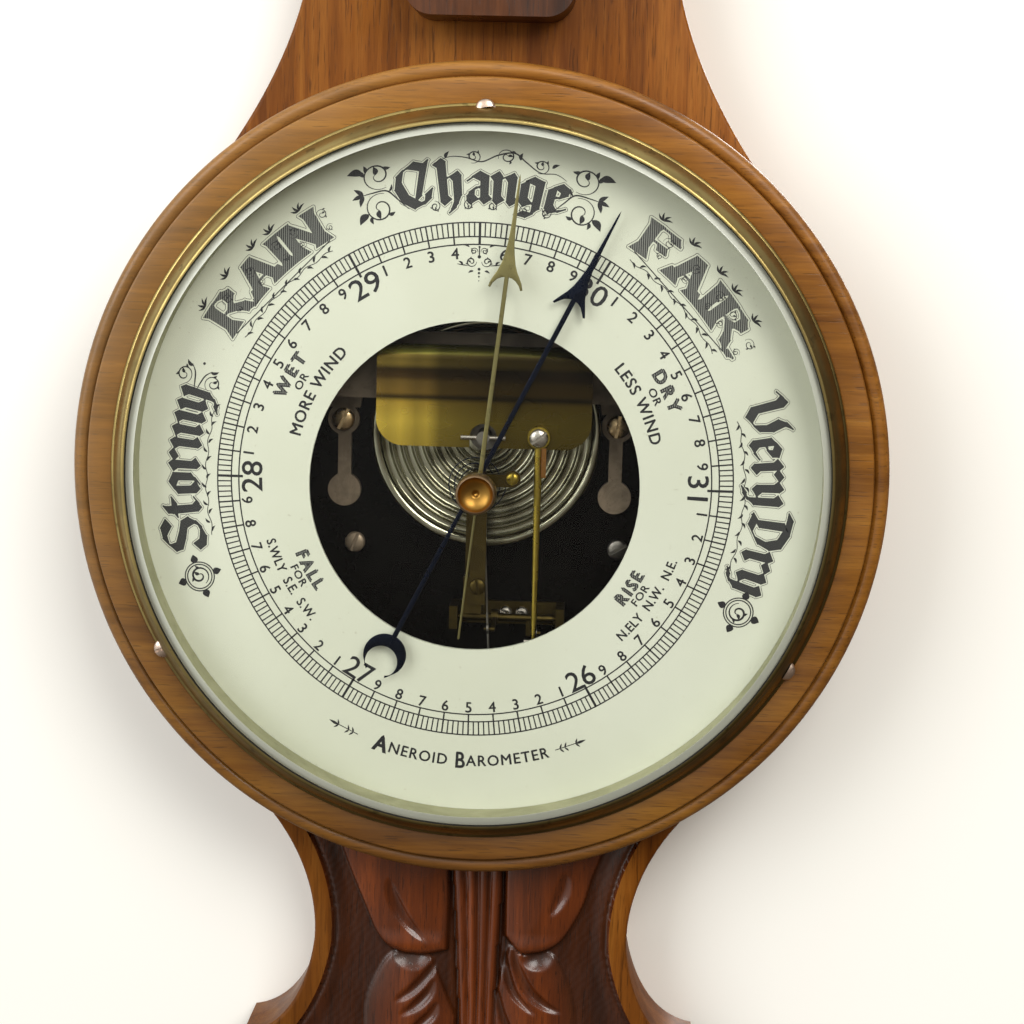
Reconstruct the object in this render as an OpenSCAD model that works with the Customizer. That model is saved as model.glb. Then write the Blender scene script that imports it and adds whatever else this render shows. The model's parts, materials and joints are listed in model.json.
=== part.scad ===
// Wall-hung aneroid barometer in a carved banjo-shaped wooden case, with an open dial.
// Millimetres. +Z is up, the wall plane is Y = 0 and the front faces -Y.
// The origin is the centre of the hanging hole, on the wall plane.
// "Depth" is the distance in front of the wall plane, so a depth d lies at Y = -d.

/* [Case] */
// Drop from the hanging hole to the centre of the dial ring
dial_drop = 530; // [525:1:545]
// Thickness of the wooden backboard
board_t = 25; // [24:0.5:26]
// Half width of the upper neck beside the thermometer
neck_half_w = 48; // [44:1:52]
// Half width of the waist below the dial
waist_half_w = 48; // [45:1:52]
// Half width of the case at the crest and base shoulders
shoulder_half_w = 70; // [66:1:76]
// Depth of the sunk ground of the two carved panels
carving_sink = 3; // [2:0.5:4]

/* [Dial ring] */
// Outer radius of the turned wooden ring
ring_r = 118; // [117:0.5:120]
// Depth of the ring's flat front face
ring_front = 43; // [42.5:0.5:43]
// Outer radius of the brass bezel's foot
bezel_foot_r = 106; // [105.5:0.1:106.5]
// Radius of the bezel's sight edge, which frames the glass
sight_r = 100; // [99.8:0.1:100.2]
// Thickness of the bevelled glass
glass_t = 3.5; // [3:0.1:3.5]

/* [Dial] */
// Sideways offset of the dial and movement from the ring's centre
movement_x = -1.2; // [-2:0.1:0]
// Upward offset of the dial and movement from the ring's centre
movement_z = -3; // [-3:0.5:0]
// Sideways place of the knob and the glass's hole from the ring's centre
knob_x = 0.5; // [0:0.1:1]
// Upward place of the knob and the glass's hole from the ring's centre
knob_z = -2.5; // [-3:0.1:-2]
// Radius of the opening in the dial
opening_r = 48; // [47:0.5:49]
// Angle of the pressure hand at rest, clockwise from the top
pressure_angle = 26.5; // [0:0.5:60]
// Angle of the set hand at rest, clockwise from the top
set_angle = 6.2; // [-30:0.1:20]

/* [Movement] */
// Radius of the corrugated vacuum capsule
capsule_r = 34.4; // [32:0.2:35]
// Width of the C-shaped mainspring
spring_w = 63; // [60:1:66]
// Radius of the drum that the chain winds on
drum_r = 1.6; // [1.4:0.1:1.8]
// Distance from the mainspring's bend axis down to the lever's lower pin
lever_len = 82.5; // [80:0.5:82.5]

/* [Thermometer] */
// Half width of the thermometer box
box_half_w = 24; // [22:0.5:28]
// Height of the thermometer box
box_h = 200; // [190:1:204]

/* [Hidden] */
$fn = 96;
play = 0.02;            // radial room of a fixed screw in its hole
running = 0.06;         // radial running clearance of a turning pivot

// Case outline, right-hand half, measured from the ring's centre
board_disc_r = ring_r - 4;
base_tip_z = -254;
base_tip_r = 26;
dome_z = 462;
dome_r = 42;

// Depths of the stack from the wall forwards
floor_t = 8;
plate_t = 2.5;
base_front = floor_t + plate_t;
capsule_back = 11.2;
capsule_front = 19.8;
bridge_back = 20.6;
bridge_front = 23.4;
spring_back = 23.7;
spring_t = 1.2;
spring_front = 31.9;
lever_t = 1.6;
dial_t = 1.2;
dial_front = 38;
dial_back = dial_front - dial_t;
glass_back = 47;
glass_front = glass_back + glass_t;

// Movement layout, measured from the hand axis
capsule_at = [2, 14];
spring_bend_z = 36.5;
spring_low_z = 11;
spring_bend_r = (spring_front - spring_back) / 2;
lever_x = 18.3;
lever_top_z = 14.5;
lever_low_z = spring_bend_z - lever_len;
crank_len = 4.5;
spindle_depth = 20;
spindle_z = lever_low_z + crank_len;
spindle_r = 1.2;
pivot_r = 0.6;
chain_depth = 30.5;
chain_x = 5;
chain_low_z = -50;
chain_top_z = 3;
chain_arm_x = 5.5;
chain_tip = [chain_depth, spindle_z - 1.6];
chain_pin_r = 0.5;
chain_eye_r = 1.1;
chain_wire_r = 0.35;
chain_gap = 0.25;
arbor_r = 0.75;
stem_r = 1.5;
post_r = 1.9;
cock_front = 35;
cock_t = 1.4;
pillar_top = cock_front - cock_t;
stud_at = [11, 2.5];
cock_screw_at = [1.6, -29.5];
base_screw_at = [[42.5, -21.1], [-37.7, -21.3], [44, 46], [-42, 46]];
bridge_screw_at = [[-41.4, 16.5], [41.4, 16.5]];
bracket_screw_x = [9, 14];
dial_pillar_angles = [30, 150, 270];
dial_pillar_r = 74;

// Case fixings, measured from the ring's centre
access_r = 30;
cover_r = 35.6;
cover_rebate = 3;
cover_screw_r = 33;
cover_screw_angles = [90, 210, 330];
bezel_screw_angles = [90, -30, 210];
bezel_screw_r = 104.2;
hang_hole_r = 4;
hang_plate_t = 1.6;
hang_screw_z = [-34, -46];

// Thermometer layout, measured from the ring's centre
box_low_z = 130;
box_front = 41;
tube_depth = 31.5;
bulb_z = 158;
tube_top_z = 316;
bulb_r = 4;
tube_r = 2;
tube_bore_r = 0.8;
mercury_z = 236;
scale_front = 27.2;

// ---- Curves ----

function bezier(p, steps = 10) = [
    for (i = [0:steps])
        let (t = i / steps, s = 1 - t)
            s * s * s * p[0] + 3 * s * s * t * p[1] + 3 * s * t * t * p[2] + t * t * t * p[3]
];

function arc(c, r, from, to, steps = 12) = [
    for (i = [0:steps])
        let (a = from + (to - from) * i / steps) [c[0] + r * cos(a), c[1] + r * sin(a)]
];

// Whole outline from its right-hand half, dropping repeated points
function both_sides(half) = concat(
    [for (i = [0:len(half) - 1]) if (i == 0 || norm(half[i] - half[max(i - 1, 0)]) > 0.1) half[i]],
    [for (i = [len(half) - 1:-1:0])
        if (half[i][0] > 0.01 && (i == 0 || norm(half[i] - half[max(i - 1, 0)]) > 0.1))
            [-half[i][0], half[i][1]]]
);

function turn(p, angle) = [
    p[0] * cos(angle) + p[1] * sin(angle), p[1] * cos(angle) - p[0] * sin(angle)
];

// ---- Placing ----

module at_case() translate([0, 0, -dial_drop]) children();

module at_movement() translate([movement_x, 0, movement_z - dial_drop]) children();

module at_knob() translate([knob_x, 0, knob_z - dial_drop]) children();

// Plate shape drawn in X and Z, from a depth forwards
module plate(depth, t) translate([0, -depth, 0]) rotate([90, 0, 0]) linear_extrude(t) children();

// Turned shape about an axis along Y: the profile is given as radius and depth
module turned(points) rotate([90, 0, 0]) rotate_extrude() polygon(points);

module disc(r, from, to) translate([0, -from, 0]) rotate([90, 0, 0]) cylinder(r = r, h = to - from);

module at_xz(p) translate([p[0], 0, p[1]]) children();

// Shape drawn in depth and Z, extruded along X
module across(x, w) translate([x, 0, 0]) mirror([0, 1, 0]) rotate([90, 0, 90]) linear_extrude(w) children();

module rod_x(r, x, len, depth, z) translate([x, -depth, z]) rotate([0, 90, 0]) cylinder(r = r, h = len);

// Slotted screw whose head seats at a depth and whose shank runs back towards the wall
module round_screw(seat, head_r, head_h, shank_r, shank_len, slot_angle = 0) {
    difference() {
        turned([
            [0, seat - shank_len], [shank_r, seat - shank_len], [shank_r, seat],
            [head_r, seat], [head_r, seat + head_h * 0.55], [head_r * 0.8, seat + head_h * 0.88],
            [head_r * 0.45, seat + head_h], [0, seat + head_h]
        ]);
        rotate([0, slot_angle, 0])
            translate([-head_r * 1.2, -(seat + head_h * 1.1), -head_r * 0.14])
                cube([head_r * 2.4, head_h * 0.55, head_r * 0.28]);
    }
}

// Countersunk screw in the back of the case: the flat head faces the wall
module sunk_screw(face, head_r, head_h, shank_r, shank_len, slot_angle = 0) {
    difference() {
        turned([
            [0, face], [head_r, face], [shank_r, face + head_h],
            [shank_r, face + shank_len], [0, face + shank_len]
        ]);
        rotate([0, slot_angle, 0])
            translate([-head_r * 1.2, -(face + head_h * 0.4), -head_r * 0.15])
                cube([head_r * 2.4, head_h, head_r * 0.3]);
    }
}

module sunk_hole(face, head_r, head_h, shank_r, shank_len) {
    turned([
        [0, face - 1], [head_r, face - 1], [head_r, face], [shank_r, face + head_h],
        [shank_r, face + shank_len], [0, face + shank_len]
    ]);
}

// ---- Case ----

function case_half() = concat(
    arc([0, base_tip_z], base_tip_r, -90, 20),
    bezier([[24.4, -245.1], [52, -250], [shoulder_half_w + 2, -222], [shoulder_half_w, -184]]),
    bezier([[shoulder_half_w, -178], [56, -176], [waist_half_w + 1.5, -160], [waist_half_w, -146]]),
    bezier([[waist_half_w, -146], [waist_half_w - 1, -128], [56, -109], [72, -96]]),
    [[62, -84], [76, 60]],
    bezier([[88, 76], [73, 95], [57, 118], [52.5, 146]]),
    bezier([[52.5, 146], [50.5, 158], [neck_half_w + 1, 176], [neck_half_w + 0.5, 200]], 6),
    bezier([[neck_half_w, 334], [neck_half_w, 348], [53, 358], [shoulder_half_w - 6, 360]], 8),
    bezier([[shoulder_half_w - 6, 366], [67, 404], [50, 434], [28.1, 430.8]]),
    arc([0, dome_z], dome_r, -48, 90)
);

function lower_panel_half() = concat(
    arc([0, base_tip_z], base_tip_r - 8, -90, 10),
    bezier([[22, -238], [46, -243], [62, -218], [shoulder_half_w - 7.5, -184.5]]),
    bezier([[shoulder_half_w - 7.5, -184.5], [52, -181], [waist_half_w - 6, -163],
            [waist_half_w - 6.5, -146]]),
    bezier([[waist_half_w - 6.5, -146], [waist_half_w - 7.5, -126], [47, -112], [64, -94]])
);

function crest_panel_half() = concat(
    [[0, 352]],
    bezier([[neck_half_w - 5, 352], [neck_half_w - 2, 359], [50, 365], [56.5, 367.5]], 6),
    bezier([[56.5, 372], [60, 402], [45, 424], [24, 422.5]]),
    arc([0, dome_z], dome_r - 7, -40, 90)
);

module lower_panel_shape() {
    difference() {
        polygon(both_sides(lower_panel_half()));
        circle(r = ring_r - 1.5);
    }
}

module crest_panel_shape() polygon(both_sides(crest_panel_half()));

module hanging_plate_shape(grow = 0) {
    circle(r = 13 + grow);
    translate([-9 - grow, -54 - grow]) square([18 + 2 * grow, 54 + grow]);
}

module screw_holes(points, r, from, to) for (p = points) at_xz(p) disc(r, from, to);

function ring_points(r, angles) = [for (a = angles) [r * cos(a), r * sin(a)]];

module backboard() color("#7a4a22") difference() {
    at_case() plate(0, board_t) {
        circle(r = board_disc_r);
        polygon(both_sides(case_half()));
    }
    at_case() {
        disc(95, floor_t, board_t + 1);
        disc(access_r, -1, floor_t + 1);
        disc(cover_r + 0.4, -1, cover_rebate);
        plate(board_t - carving_sink, carving_sink + 1) lower_panel_shape();
        plate(board_t - carving_sink, carving_sink + 1) crest_panel_shape();
        screw_holes(ring_points(cover_screw_r, cover_screw_angles), 1.2 + play, 0, 7.5);
    }
    at_movement() screw_holes(base_screw_at, 1.5 + play, 4, floor_t + 1);
    plate(-1, hang_plate_t + 1.1) hanging_plate_shape(0.15);
    for (z = hang_screw_z) at_xz([0, z]) disc(1.6 + play, 0, 16);
}

module dial_surround() color("#96652a") at_case() difference() {
    turned(concat(
        [[102.3, board_t], [102.3, ring_front], [ring_r - 5.3, ring_front], [ring_r - 4.9, ring_front - 0.4],
         [ring_r - 4.7, ring_front - 2.6], [ring_r - 4.5, ring_front - 3.1]],
        arc([ring_r - 2.4, ring_front - 4.4], 2.4, 140, -60, 12),
        [[ring_r - 1.8, 35], [ring_r - 2, 34], [ring_r - 2, board_t]]
    ));
    screw_holes(ring_points(bezel_screw_r, bezel_screw_angles), 1.2 + play, 32, ring_front + 1);
}

// One side of the lower carving's leaves, drawn for positive X
module lobe_shape() polygon(concat(
    bezier([[6, -100], [7, -125], [8, -140], [16, -152]], 8),
    bezier([[16, -152], [26, -156], [33, -146], [36, -134]], 8),
    bezier([[36, -134], [40, -122], [43, -112], [50, -104]], 8),
    [[50, -96], [6, -96]]
));

module petal_shape() polygon(concat(
    bezier([[5, -140], [7, -170], [14, -190], [24, -204]], 8),
    bezier([[24, -204], [42, -196], [40, -166], [27, -153]], 8)
));

module base_scroll_shape() polygon(concat(
    bezier([[4, -200], [22, -206], [46, -204], [54, -188]], 8),
    bezier([[54, -188], [58, -208], [40, -232], [14, -236]], 8),
    [[4, -240]]
));

module lower_carving() color("#5a2d1c") at_case() {
    ground = board_t - carving_sink;
    difference() {
        union() {
            plate(ground, 1.2) lower_panel_shape();
            intersection() {
                plate(ground + 1.2, 4) difference() {
                    union() {
                        for (side = [0, 1]) mirror([side, 0, 0]) {
                            lobe_shape();
                            petal_shape();
                            base_scroll_shape();
                        }
                        translate([-7, -262]) square([14, 166]);
                    }
                    circle(r = ring_r + 0.5);
                }
                plate(ground, 6) lower_panel_shape();
            }
        }
        for (x = [-2.4, 2.4]) plate(ground + 2.5, 4) translate([x - 0.5, -258]) square([1, 160]);
    }
}

module crest_carving() color("#5a2d1c") at_case() {
    ground = board_t - carving_sink;
    plate(ground, 1.2) crest_panel_shape();
    intersection() {
        plate(ground + 1.2, 4) {
            for (a = [-60:20:60]) rotate(a) translate([-5, 30]) square(0.01);
            translate([0, 425]) for (a = [-75:25:75]) rotate(a) translate([-6.5, 10]) square([13, 54]);
            translate([0, 425]) circle(r = 15);
            for (side = [0, 1]) mirror([side, 0, 0]) polygon(bezier([[4, 412], [22, 356], [50, 362], [52, 398]], 10));
        }
        plate(ground, 6) crest_panel_shape();
    }
}

module hanging_plate() color("#b08d45") difference() {
    plate(0, hang_plate_t) hanging_plate_shape();
    disc(hang_hole_r, -1, hang_plate_t + 1);
    for (z = hang_screw_z) at_xz([0, z]) sunk_hole(0, 3.2, 1.6, 1.6 + play, 3);
}

module hanging_plate_screws() color("#c9b27a")
    for (z = hang_screw_z) at_xz([0, z]) sunk_screw(0.05, 3.1, 1.55, 1.6, 15, 20);

module back_cover() color("#8a5a2c") at_case() difference() {
    disc(cover_r, 0.3, 2.8);
    at_xz([movement_x + capsule_at[0], movement_z + capsule_at[1]]) disc(5, -1, 4);
    for (p = ring_points(cover_screw_r, cover_screw_angles)) at_xz(p) sunk_hole(0.3, 2.3, 1.1, 1.2 + play, 4);
}

module back_cover_screws() color("#c9b27a") at_case()
    for (p = ring_points(cover_screw_r, cover_screw_angles)) at_xz(p) sunk_screw(0.35, 2.2, 1, 1.2, 6.5, 35);

// ---- Thermometer ----

module rounded_box_shape(half_w, low, high, r) {
    translate([-half_w, low + r]) square([2 * half_w, high - low - 2 * r]);
    translate([r - half_w, low]) square([2 * (half_w - r), high - low]);
    for (x = [r - half_w, half_w - r], z = [low + r, high - r]) translate([x, z]) circle(r = r);
}

module thermometer_box() color("#5e3519") at_case() difference() {
    plate(board_t, box_front - board_t) rounded_box_shape(box_half_w, box_low_z, box_low_z + box_h, 8);
    plate(board_t - 1, box_front)
        rounded_box_shape(box_half_w - 6.5, box_low_z + 7, box_low_z + box_h - 7, 3);
    plate(board_t - 1, box_front - board_t - 0.5)
        translate([-box_half_w + 4.2, box_low_z + 4.8]) square([2 * box_half_w - 8.4, box_h - 9.6]);
}

module thermometer_glass() color([0.85, 0.92, 0.9, 0.4]) at_case()
    plate(38, 1.4) translate([-box_half_w + 4.4, box_low_z + 5])
        square([2 * box_half_w - 8.8, box_h - 10]);

module thermometer_scale() color("#e9e2c8") at_case()
    plate(board_t + 0.1, scale_front - board_t - 0.1) translate([-box_half_w + 4.6, box_low_z + 5.2])
        square([2 * box_half_w - 9.2, box_h - 10.4]);

module tube_axis() translate([0, -tube_depth, 0]) children();

module thermometer_tube() color([0.9, 0.95, 0.95, 0.5]) at_case() tube_axis() difference() {
    union() {
        translate([0, 0, bulb_z]) cylinder(r = tube_r, h = tube_top_z - bulb_z);
        translate([0, 0, bulb_z]) sphere(r = bulb_r);
    }
    translate([0, 0, bulb_z]) cylinder(r = tube_bore_r, h = tube_top_z - bulb_z - 2);
    translate([0, 0, bulb_z]) sphere(r = bulb_r - 0.7);
}

module mercury() color("#9fa3a8") at_case() tube_axis() {
    translate([0, 0, bulb_z]) cylinder(r = tube_bore_r - 0.1, h = mercury_z - bulb_z);
    translate([0, 0, bulb_z]) sphere(r = bulb_r - 0.8);
}

module tube_clips() color("#c2a357") at_case() for (z = [180, 300]) tube_axis() translate([0, 0, z]) {
    rotate([0, 0, 180]) rotate_extrude(angle = 180) translate([tube_r + 0.6, 0]) circle(r = 0.4, $fn = 24);
    for (x = [-1, 1]) translate([x * (tube_r + 0.6), 0, 0]) rotate([-90, 0, 0])
        cylinder(r = 0.4, h = tube_depth - scale_front, $fn = 24);
}

// ---- Bezel and glass ----

module bezel() color("#a8904e") at_case() difference() {
    turned([
        [sight_r + 0.8, 41], [sight_r + 0.8, 50.7], [sight_r, 50.7], [sight_r, 51.2],
        [sight_r + 0.3, 51.5], [sight_r + 1.2, 51.5], [sight_r + 1.6, 51.2],
        [bezel_foot_r - 0.5, 44.4], [bezel_foot_r, 44.1], [bezel_foot_r, ring_front],
        [102, ring_front], [102, 41]
    ]);
    for (p = ring_points(bezel_screw_r, bezel_screw_angles)) at_xz(p) {
        disc(1.2 + play, 40, 50);
        disc(3.05, 44.3, 53);
    }
}

module bezel_screws() color("#c4b49a") at_case()
    for (i = [0:2]) at_xz(ring_points(bezel_screw_r, bezel_screw_angles)[i])
        round_screw(44.3, 2.9, 2.1, 1.2, 12, [50, 15, 80][i]);

module sight_ring() color("#8f8f78") at_case()
    turned([[sight_r - 0.9, dial_front + 0.2], [sight_r + 0.6, dial_front + 0.2],
            [sight_r + 0.6, glass_back - 0.05], [sight_r - 0.9, glass_back - 0.05]]);

module glass() color([0.85, 0.92, 0.9, 0.3]) difference() {
    at_case() turned([[0, glass_back], [sight_r + 0.6, glass_back], [sight_r + 0.6, glass_front - 1.3],
                      [sight_r - 1.6, glass_front], [0, glass_front]]);
    at_knob() disc(3, glass_back - 1, glass_front + 1);
}

module glass_bush() color("#b08d45") at_knob() difference() {
    turned([[0, 45.9], [4.2, 45.9], [4.2, glass_back - 0.02], [2.98, glass_back - 0.02],
            [2.98, glass_front + 0.02], [4.6, glass_front + 0.02], [4.6, glass_front + 1], [0, glass_front + 1]]);
    disc(stem_r + running, 40, 56);
}

// ---- Dial and base ----

module dial_plate() color("#cdd0bb") difference() {
    at_case() disc(101.5, dial_back, dial_front);
    at_movement() disc(opening_r, dial_back - 1, dial_front + 1);
}

module dial_pillars() color("#a8904e") at_movement()
    for (p = ring_points(dial_pillar_r, dial_pillar_angles)) at_xz(p) {
        disc(3.2, base_front, dial_back);
        disc(1.5, floor_t + 0.2, base_front);
    }

module base_plate() color("#201d1b") at_movement() difference() {
    disc(88, floor_t, base_front);
    screw_holes(base_screw_at, 1.5 + play, floor_t - 1, base_front + 1);
    screw_holes(bridge_screw_at, 1.8 + play, floor_t - 1, base_front + 1);
    screw_holes(ring_points(dial_pillar_r, dial_pillar_angles), 1.5 + play, floor_t - 1, base_front + 1);
    screw_holes([for (x = bracket_screw_x) [x, spindle_z]], 0.9 + play, floor_t - 1, base_front + 1);
    at_xz(capsule_at) disc(2.5 + running, floor_t - 1, base_front + 1);
}

module base_plate_screws() color("#8d8a84") at_movement()
    for (i = [0:3]) at_xz(base_screw_at[i]) round_screw(base_front, 3.2, 2, 1.5, 6, [28, 60, 10, 75][i]);

// ---- Capsule ----

// Corrugated face: depth of the wave at a radius
function wave(r) = 0.55 * cos(360 * (r - 6) / 3.4);

module capsule() color("#b9bab4") at_movement() at_xz(capsule_at) {
    rings = [for (r = [6:0.425:capsule_r - 2.4]) r];
    turned(concat(
        [[0, capsule_back + 1]],
        [for (r = rings) [r, capsule_back + 1.4 - wave(r)]],
        [[capsule_r - 1.2, capsule_back + 0.8], [capsule_r, capsule_back + 1.2],
         [capsule_r, capsule_front - 1.2], [capsule_r - 1.2, capsule_front - 0.8]],
        [for (i = [len(rings) - 1:-1:0]) [rings[i], capsule_front - 1.4 + wave(rings[i])]],
        [[0, capsule_front - 0.6]]
    ));
    disc(5, base_front, capsule_back + 1.2);
}

module capsule_stud() color("#9c9a90") at_movement() at_xz(capsule_at) difference() {
    disc(4.5, capsule_front - 0.6, 23.2);
    disc(post_r + 0.35, 21, 24);
}

// ---- Spring bridge ----

module bridge_foot_shape() {
    translate([41, -5]) circle(r = 5);
    translate([39, -5]) square([4, 18]);
    translate([41.4, 16.5]) circle(r = 4.8);
    polygon([[36.5, 20], [46.5, 20], [50, 34], [50, 42], [37, 42], [34, 34]]);
}

module spring_bridge() color("#3b3733") at_movement() difference() {
    union() {
        for (side = [0, 1]) mirror([side, 0, 0]) {
            plate(base_front, 2.5) bridge_foot_shape();
            plate(base_front, bridge_back - base_front) translate([40, 31]) square([9, 9]);
        }
        plate(bridge_back, bridge_front - bridge_back) translate([-49, 24]) square([98, 20]);
    }
    screw_holes(bridge_screw_at, 1.8 + play, base_front - 1, base_front + 4);
}

module bridge_screws() color("#c0a883") at_movement()
    for (i = [0:1]) at_xz(bridge_screw_at[i]) round_screw(base_front + 2.5, 3.5, 2.4, 1.8, 4.8, [55, 20][i]);

// ---- Rocking bar and its bracket ----

module rocking_bracket() color("#8c7440") at_movement() difference() {
    union() {
        plate(base_front, 1.5) translate([-7.5, spindle_z - 3.5]) square([34.5, 7]);
        for (x = [-7.5, 24.5]) plate(base_front, 12.5) translate([x, spindle_z - 3.5]) square([2.5, 7]);
    }
    rod_x(pivot_r + running, -10, 40, spindle_depth, spindle_z);
    screw_holes([for (x = bracket_screw_x) [x, spindle_z]], 0.9 + play, base_front - 1, base_front + 2);
}

module bracket_screws() color("#8d8a84") at_movement()
    for (x = bracket_screw_x) at_xz([x, spindle_z]) round_screw(base_front + 1.5, 2, 1.4, 0.9, 3.8, 30);

// Flat strip between two points given as depth and Z
module strut(x, w, from, to, h) {
    run = to - from;
    translate([x, -from[0], from[1]]) rotate([atan2(run[1], -run[0]), 0, 0])
        translate([0, 0, -h / 2]) cube([w, norm(run), h]);
}

module rocking_bar() color("#a58b4a") at_movement() {
    axis = [spindle_depth, spindle_z];
    rod_x(spindle_r, -3.5, 27, spindle_depth, spindle_z);
    rod_x(pivot_r, -6.5, 33, spindle_depth, spindle_z);
    difference() {
        rod_x(2.4, chain_arm_x - 0.4, 2, spindle_depth, spindle_z);
        rod_x(spindle_r - 0.2, chain_arm_x - 1, 4, spindle_depth, spindle_z);
    }
    strut(chain_arm_x, 1.2, axis, chain_tip, 1.6);
    rod_x(0.8, chain_arm_x, 1.2, chain_tip[0], chain_tip[1]);
    rod_x(chain_pin_r, chain_arm_x - 2, 2.5, chain_tip[0], chain_tip[1]);
    strut(15.6, 1.4, axis, [spindle_depth, lever_low_z - 0.8], 2);
    rod_x(pivot_r, 15.6, 4.4, spindle_depth, lever_low_z);
}

// ---- Hand arbor, cock and hairspring ----

module arbor_pillar() color("#8c7440") at_movement() difference() {
    union() {
        plate(base_front, pillar_top - base_front) translate([-2.7, -38]) square([5.4, 11]);
        plate(25.4, 1.6) {
            translate([-2.7, -28]) square([5.4, 28]);
            circle(r = 3.4);
        }
    }
    disc(arbor_r + running, 20, 40);
    at_xz(cock_screw_at) disc(1.2 + play, 26, 40);
}

module arbor_cock() color("#a58b4a") at_movement() difference() {
    plate(pillar_top, cock_t) {
        translate([-0.9, -35]) square([4.7, 35]);
        translate([0.5, 0]) circle(r = 4.2);
        translate([0.5, 0]) square([stud_at[0] - 0.5, 3.6]);
        translate(stud_at) circle(r = 2.4);
    }
    disc(arbor_r + running, 30, 40);
    at_xz(cock_screw_at) disc(1.2 + play, 30, 40);
    at_xz(stud_at) disc(0.9 + play, 30, 40);
}

module cock_screw() color("#b7a265") at_movement() at_xz(cock_screw_at)
    round_screw(cock_front, 2.6, 1.5, 1.2, 8, 75);

module hairspring_stud() color("#a58b4a") at_movement() at_xz(stud_at) difference() {
    disc(1.6, 27.2, pillar_top);
    disc(0.9 + play, 28.5, pillar_top + 1);
}

module hairspring_stud_screw() color("#b7a265") at_movement() at_xz(stud_at)
    round_screw(cock_front, 1.9, 1.2, 0.9, 6, 85);

function spiral_r(a) = 1.9 + 7 * a / (360 * 4.25);

module hairspring() color("#3c4a66") at_movement() {
    turns = [for (a = [0:15:360 * 4.25]) a];
    plate(27.4, 0.7) rotate(-86) polygon(concat(
        [for (a = turns) (spiral_r(a) - 0.15) * [cos(a), sin(a)]],
        [for (i = [len(turns) - 1:-1:0]) (spiral_r(turns[i]) + 0.15) * [cos(turns[i]), sin(turns[i])]]
    ));
}

module hand_arbor() color("#8d8a84") at_movement() disc(arbor_r, 25.6, 43);

module chain_drum() color("#b08d45") at_movement() difference() {
    turned([[0, 28.5], [2.5, 28.5], [2.5, 29], [drum_r, 29], [drum_r, 32], [2.5, 32], [2.5, 32.5], [0, 32.5]]);
    disc(arbor_r + play, 28, 33);
}

// ---- Hands ----

module arrow_shape(tip, root, notch, half_w) polygon([
    [0, tip], [0.7, root + 4], [half_w * 0.55, root - 3], [half_w, notch],
    [half_w * 0.35, notch + 3.4], [0, notch + 2.4],
    [-half_w * 0.35, notch + 3.4], [-half_w, notch], [-half_w * 0.55, root - 3], [-0.7, root + 4]
]);

module crescent_shape() {
    difference() {
        circle(r = 6.3);
        translate([0, -2.4]) circle(r = 4.7);
    }
}

module pressure_hand() color("#1c2433") at_movement() difference() {
    plate(40.5, 0.6) rotate(-pressure_angle) {
        arrow_shape(89.6, 71, 58, 5.2);
        translate([-0.75, -50]) square([1.5, 112]);
        translate([0, -55.6]) crescent_shape();
        circle(r = 3.4);
    }
    disc(2.2 + play, 40, 42);
}

module hand_collet() color("#b08d45") at_movement() difference() {
    disc(2.2, 39.4, 42.4);
    disc(arbor_r + play, 39, 43);
}

module set_hand() color("#a58b4a") at_knob() difference() {
    plate(44.2, 0.6) rotate(-set_angle) {
        arrow_shape(92, 71, 58, 4.8);
        translate([-0.65, 0]) square([1.3, 61.5]);
        translate([-0.4, -44.5]) square([0.8, 45]);
        circle(r = 3);
    }
    disc(stem_r + play, 43, 46);
}

module set_knob() color("#a87b35") at_knob() turned([
    [0, 43.6], [stem_r, 43.6], [stem_r, 44.85], [3, 44.85], [3, 45.55], [stem_r, 45.55], [stem_r, 52.3],
    [5.2, 52.3], [5.8, 52.9], [5.8, 57.9], [5.4, 58.6], [5, 58.6], [4.6, 57.8], [3.2, 56.6], [1, 56],
    [0.6, 55.4], [0, 55.2]
]);

// ---- Chain, mainspring and main lever ----

chain_line_x = drum_r + chain_wire_r + chain_gap;
chain_tilt = atan2(chain_x - chain_line_x, -chain_low_z);

module chain() color("#6d6a62") at_movement() translate([0, -chain_depth, 0])
    rotate([0, -chain_tilt, 0]) translate([chain_line_x / cos(chain_tilt), 0, 0]) {
        translate([0, 0, chain_tip[1] + 1.4]) cylinder(r = chain_wire_r, h = chain_top_z - chain_tip[1] - 1.4);
        translate([-0.3, 0, chain_tip[1]]) rotate([0, 90, 0]) difference() {
            cylinder(r = chain_eye_r + 0.5, h = 0.6);
            translate([0, 0, -1]) cylinder(r = chain_eye_r, h = 3);
        }
        translate([0, 0, chain_low_z]) cylinder(r = chain_wire_r, h = chain_tip[1] - 1.4 - chain_low_z);
    }

module spring_leaf_shape() {
    half = spring_w / 2;
    corner = 8;
    translate([capsule_at[0], 0]) {
        translate([-half, spring_low_z + corner]) square([spring_w, 40]);
        translate([corner - half, spring_low_z]) square([spring_w - 2 * corner, 20]);
        for (x = [corner - half, half - corner]) translate([x, spring_low_z + corner]) circle(r = corner);
    }
}

module main_spring() color("#97814a") at_movement() difference() {
    intersection() {
        across(capsule_at[0] - spring_w / 2, spring_w) {
            translate([spring_front - spring_t, spring_low_z]) square([spring_t, spring_bend_z - spring_low_z]);
            translate([spring_back, spring_bend_z - 8]) square([spring_t, 8]);
            translate([spring_back + spring_bend_r, spring_bend_z]) intersection() {
                difference() {
                    circle(r = spring_bend_r);
                    circle(r = spring_bend_r - spring_t);
                }
                translate([-10, 0]) square([20, 10]);
            }
        }
        plate(spring_back - 1, spring_front - spring_back + 2) spring_leaf_shape();
    }
    at_xz(capsule_at) disc(4, 28, 34);
    at_xz(capsule_at) translate([-4, -34, -8]) cube([8, 6, 8]);
    at_xz([lever_x, lever_top_z]) disc(1.5 + play, 28, 34);
}

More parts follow.
